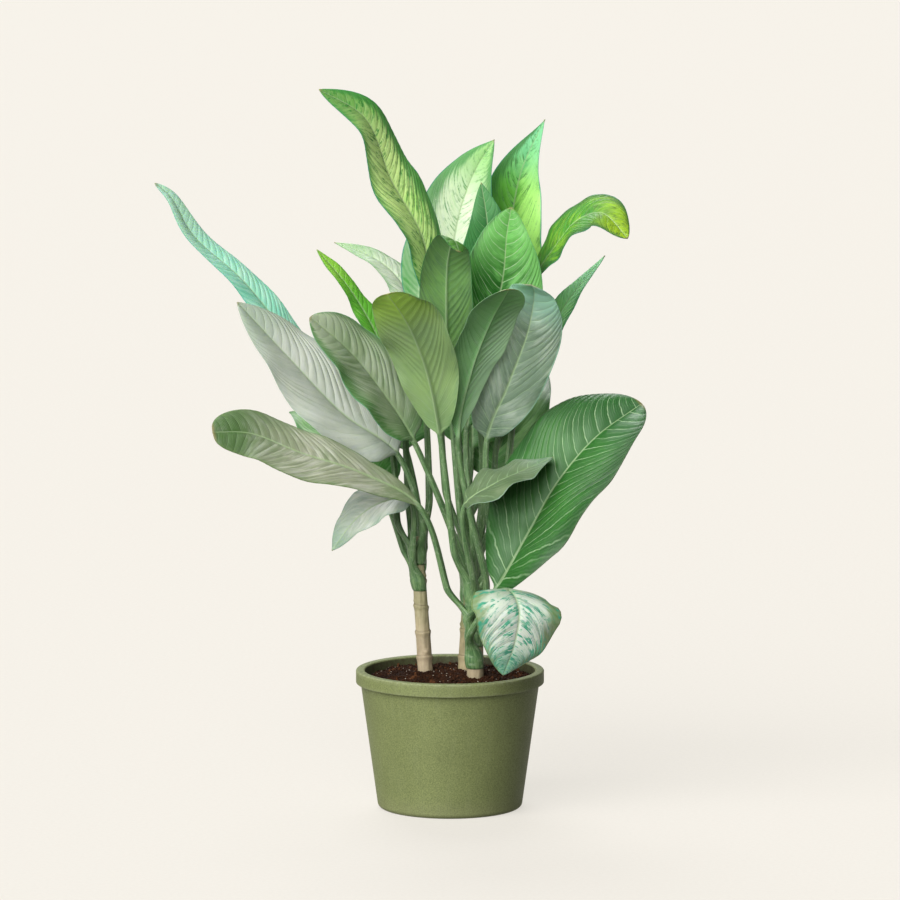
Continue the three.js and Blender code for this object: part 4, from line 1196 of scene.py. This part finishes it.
def scatter_tree():
    """Grains strewn over the upward faces of a mesh: irregular, turned and sized at random."""
    tree = bpy.data.node_groups.new("strewn_grains", "GeometryNodeTree")
    tree.is_modifier = True
    sockets = (("Geometry", "Geometry"), ("Per Square Metre", "Float"), ("Smallest", "Float"),
               ("Largest", "Float"), ("Stretch", "Float"), ("Sink", "Float"), ("Reach", "Float"),
               ("Seed", "Int"), ("Finish", "Material"))
    for label, kind in sockets:
        tree.interface.new_socket(label, in_out="INPUT", socket_type=f"NodeSocket{kind}")
    tree.interface.new_socket("Geometry", in_out="OUTPUT", socket_type="NodeSocketGeometry")
    w = Wiring(tree)
    given = w.add("NodeGroupInput").outputs

    place = w.add("GeometryNodeInputPosition").outputs[0]
    away = w.vector("LENGTH", w.vector("MULTIPLY", place, (1, 1, 0)))
    inside = w.add("FunctionNodeCompare", {0: away, 1: given["Reach"]}, data_type="FLOAT",
                   operation="LESS_THAN").outputs[0]
    normal = w.add("GeometryNodeInputNormal").outputs[0]
    upward = w.add("FunctionNodeCompare", {0: w.parts(normal)[2], 1: STEEPEST}, data_type="FLOAT",
                   operation="GREATER_THAN").outputs[0]
    wanted = w.add("FunctionNodeBooleanMath", {0: inside, 1: upward}, operation="AND").outputs[0]
    strewn = w.add("GeometryNodeDistributePointsOnFaces", {
        "Mesh": given["Geometry"], "Selection": wanted, "Density": given["Per Square Metre"],
        "Seed": given["Seed"]})
    grain = w.add("GeometryNodeMeshIcoSphere", {"Radius": 0.5, "Subdivisions": 1}).outputs[0]
    turn = w.add("FunctionNodeRandomValue", {0: (0, 0, 0), 1: (FULL_TURN,) * 3, "Seed": given["Seed"]},
                 data_type="FLOAT_VECTOR").outputs[0]
    low = w.joined(0.7, 0.55, 0.6)
    high = w.joined(given["Stretch"], 1.0, 0.95)
    shape = w.add("FunctionNodeRandomValue", {0: low, 1: high, "Seed": 5},
                  data_type="FLOAT_VECTOR").outputs[0]
    draw = w.add("FunctionNodeRandomValue", {2: 0.0, 3: 1.0, "Seed": 9}, data_type="FLOAT").outputs[1]
    size = w.add("ShaderNodeMapRange", {
        0: w.math("POWER", draw, SMALL_GRAINS), 1: 0.0, 2: 1.0,
        3: given["Smallest"], 4: given["Largest"]}).outputs[0]
    placed = w.add("GeometryNodeInstanceOnPoints", {
        "Points": strewn.outputs["Points"], "Instance": grain, "Rotation": turn,
        "Scale": w.scaled(shape, size)})
    whole = w.add("GeometryNodeRealizeInstances", {0: placed.outputs[0]}).outputs[0]
    rough = w.add("ShaderNodeTexNoise", {"Vector": place, "Scale": 700.0, "Detail": 2.0})
    push = w.scaled(w.vector("SUBTRACT", rough.outputs["Color"], (0.5, 0.5, 0.5)), GRAIN_DENTS)
    lowered = w.vector("ADD", push, w.joined(0.0, 0.0, given["Sink"]))
    moved = w.add("GeometryNodeSetPosition", {"Geometry": whole, "Offset": lowered}).outputs[0]
    dressed = w.add("GeometryNodeSetMaterial", {"Geometry": moved, "Material": given["Finish"]})
    w.join(dressed.outputs[0], w.add("NodeGroupOutput").inputs[0])
    return tree


def strewn_piece(name, tree, bed, look, **values):
    """One kind of grain strewn over the soil. The values are the tree's named inputs."""
    holder = holder_of(bed.data.copy())
    modifier = holder.modifiers.new("strewn", "NODES")
    modifier.node_group = tree
    values["Finish"] = earth_finish(name, *look)
    for item in tree.interface.items_tree:
        label = item.name.replace(" ", "_")
        if item.in_out == "INPUT" and label in values:
            modifier[item.identifier] = values[label]
    mesh = evaluated_mesh(holder)
    mesh.name = f"soil_{name}"
    mesh.shade_flat()
    return finished(mesh.name, mesh, None, "soil")


# look: dark and light tone, then size of the grain and depth of the bump; lengths in metres.
SOIL_LOOK = ("#160b04", "#2f1b0c", 0.0010, 0.0008)
MIX = {
    "crumbs": dict(look=("#180b04", "#3a200f", 0.0008, 0.0004), Per_Square_Metre=420000.0,
                   Smallest=0.0009, Largest=0.0032, Stretch=1.3, Sink=0.0002, Seed=3),
    "bark": dict(look=("#321a0c", "#593820", 0.0007, 0.0003), Per_Square_Metre=9000.0,
                 Smallest=0.0016, Largest=0.005, Stretch=2.4, Sink=0.0004, Seed=11),
    "perlite": dict(look=("#8f887b", "#c4bdb0", 0.0006, 0.0002), Per_Square_Metre=9000.0,
                    Smallest=0.0007, Largest=0.0018, Stretch=1.1, Sink=0.0006, Seed=23),
}
CLEAR_OF_WALL = 2.6


def potting_mix():
    """The soil with all that lies strewn on it."""
    bed = soil_piece(earth_finish("soil", *SOIL_LOOK))
    tree = scatter_tree()
    reach = (pot_inside(SOIL_LEVEL) - CLEAR_OF_WALL) * MM
    for name, values in MIX.items():
        strewn_piece(name, tree, bed, Reach=reach, **values)


# ------------------------------------------------------------------ the plant

CANE_SEED = 1.7  # what sets one cane's bark, or one leaf's waves, apart from the next one's
LEAF_SEED = 0.37

pot_piece()
potting_mix()
for i, (place, cane) in enumerate(CANES.items()):
    finish = cane_finish(f"cane_{place}", *CANE_TONES[place])
    cane_piece(place, cane, finish, "cane_tan" if place == "left" else "cane_green", CANE_SEED * i)
for i, (name, leaf) in enumerate(LEAVES.items()):
    leaf_piece(name, leaf, DRESS[name], LEAF_SEED * (i + 1))


# ------------------------------------------------------------------ floor, light and camera

FLOOR_RADIUS = 60
FLOOR_SIDES = 96
# way: towards the light; softness: its width in degrees.
LIGHTS = {
    "key": dict(way=(-0.55, -0.85, 0.6), strength=5.9, softness=65, tone=(1.0, 0.99, 0.97)),
    "back": dict(way=(-0.15, 0.9, 1.1), strength=2.4, softness=35, tone=(0.98, 0.99, 1.0)),
}
SKY_TONE = (0.96, 0.95, 0.93, 1)
SKY_STRENGTH = 0.15
CAMERA_PLACE = (0, -6.0, 1.143)
CAMERA_DIP = 7.7565  # degrees that it looks down
CAMERA_LENS = 269.16
CAMERA_FILM = 36


def floor_disc():
    """The pale table, in metres."""
    angles = np.linspace(0, 2 * np.pi, FLOOR_SIDES, endpoint=False)
    points = [(FLOOR_RADIUS * math.cos(a), FLOOR_RADIUS * math.sin(a), 0) for a in angles]
    mesh = bpy.data.meshes.new("floor")
    mesh.from_pydata(points, [], [list(range(FLOOR_SIDES))])
    mesh.materials.append(floor_finish())
    floor = bpy.data.objects.new("floor", mesh)
    bpy.context.scene.collection.objects.link(floor)
    floor.visible_diffuse = False  # its glow doesn't light the plant from below


def sun(name, way, strength, softness, tone):
    light = bpy.data.lights.new(name, "SUN")
    light.energy = strength
    light.angle = math.radians(softness)
    light.color = tone
    lamp = bpy.data.objects.new(name, light)
    lamp.rotation_euler = Vector(way).to_track_quat("Z", "Y").to_euler()
    bpy.context.scene.collection.objects.link(lamp)


def sky():
    world = bpy.data.worlds.new("studio")
    world.use_nodes = True
    shade = world.node_tree.nodes["Background"]
    shade.inputs["Color"].default_value = SKY_TONE
    shade.inputs["Strength"].default_value = SKY_STRENGTH
    bpy.context.scene.world = world


def camera():
    """The photograph's own angle and framing."""
    eye = bpy.data.cameras.new("camera")
    eye.lens = CAMERA_LENS
    eye.sensor_width = CAMERA_FILM
    eye.clip_end = 200
    holder = bpy.data.objects.new("camera", eye)
    holder.location = CAMERA_PLACE
    holder.rotation_euler = (math.radians(90 - CAMERA_DIP), 0, 0)
    bpy.context.scene.collection.objects.link(holder)
    bpy.context.scene.camera = holder


floor_disc()
for name, values in LIGHTS.items():
    sun(name, **values)
sky()
camera()
bpy.context.scene.view_settings.view_transform = "Standard"
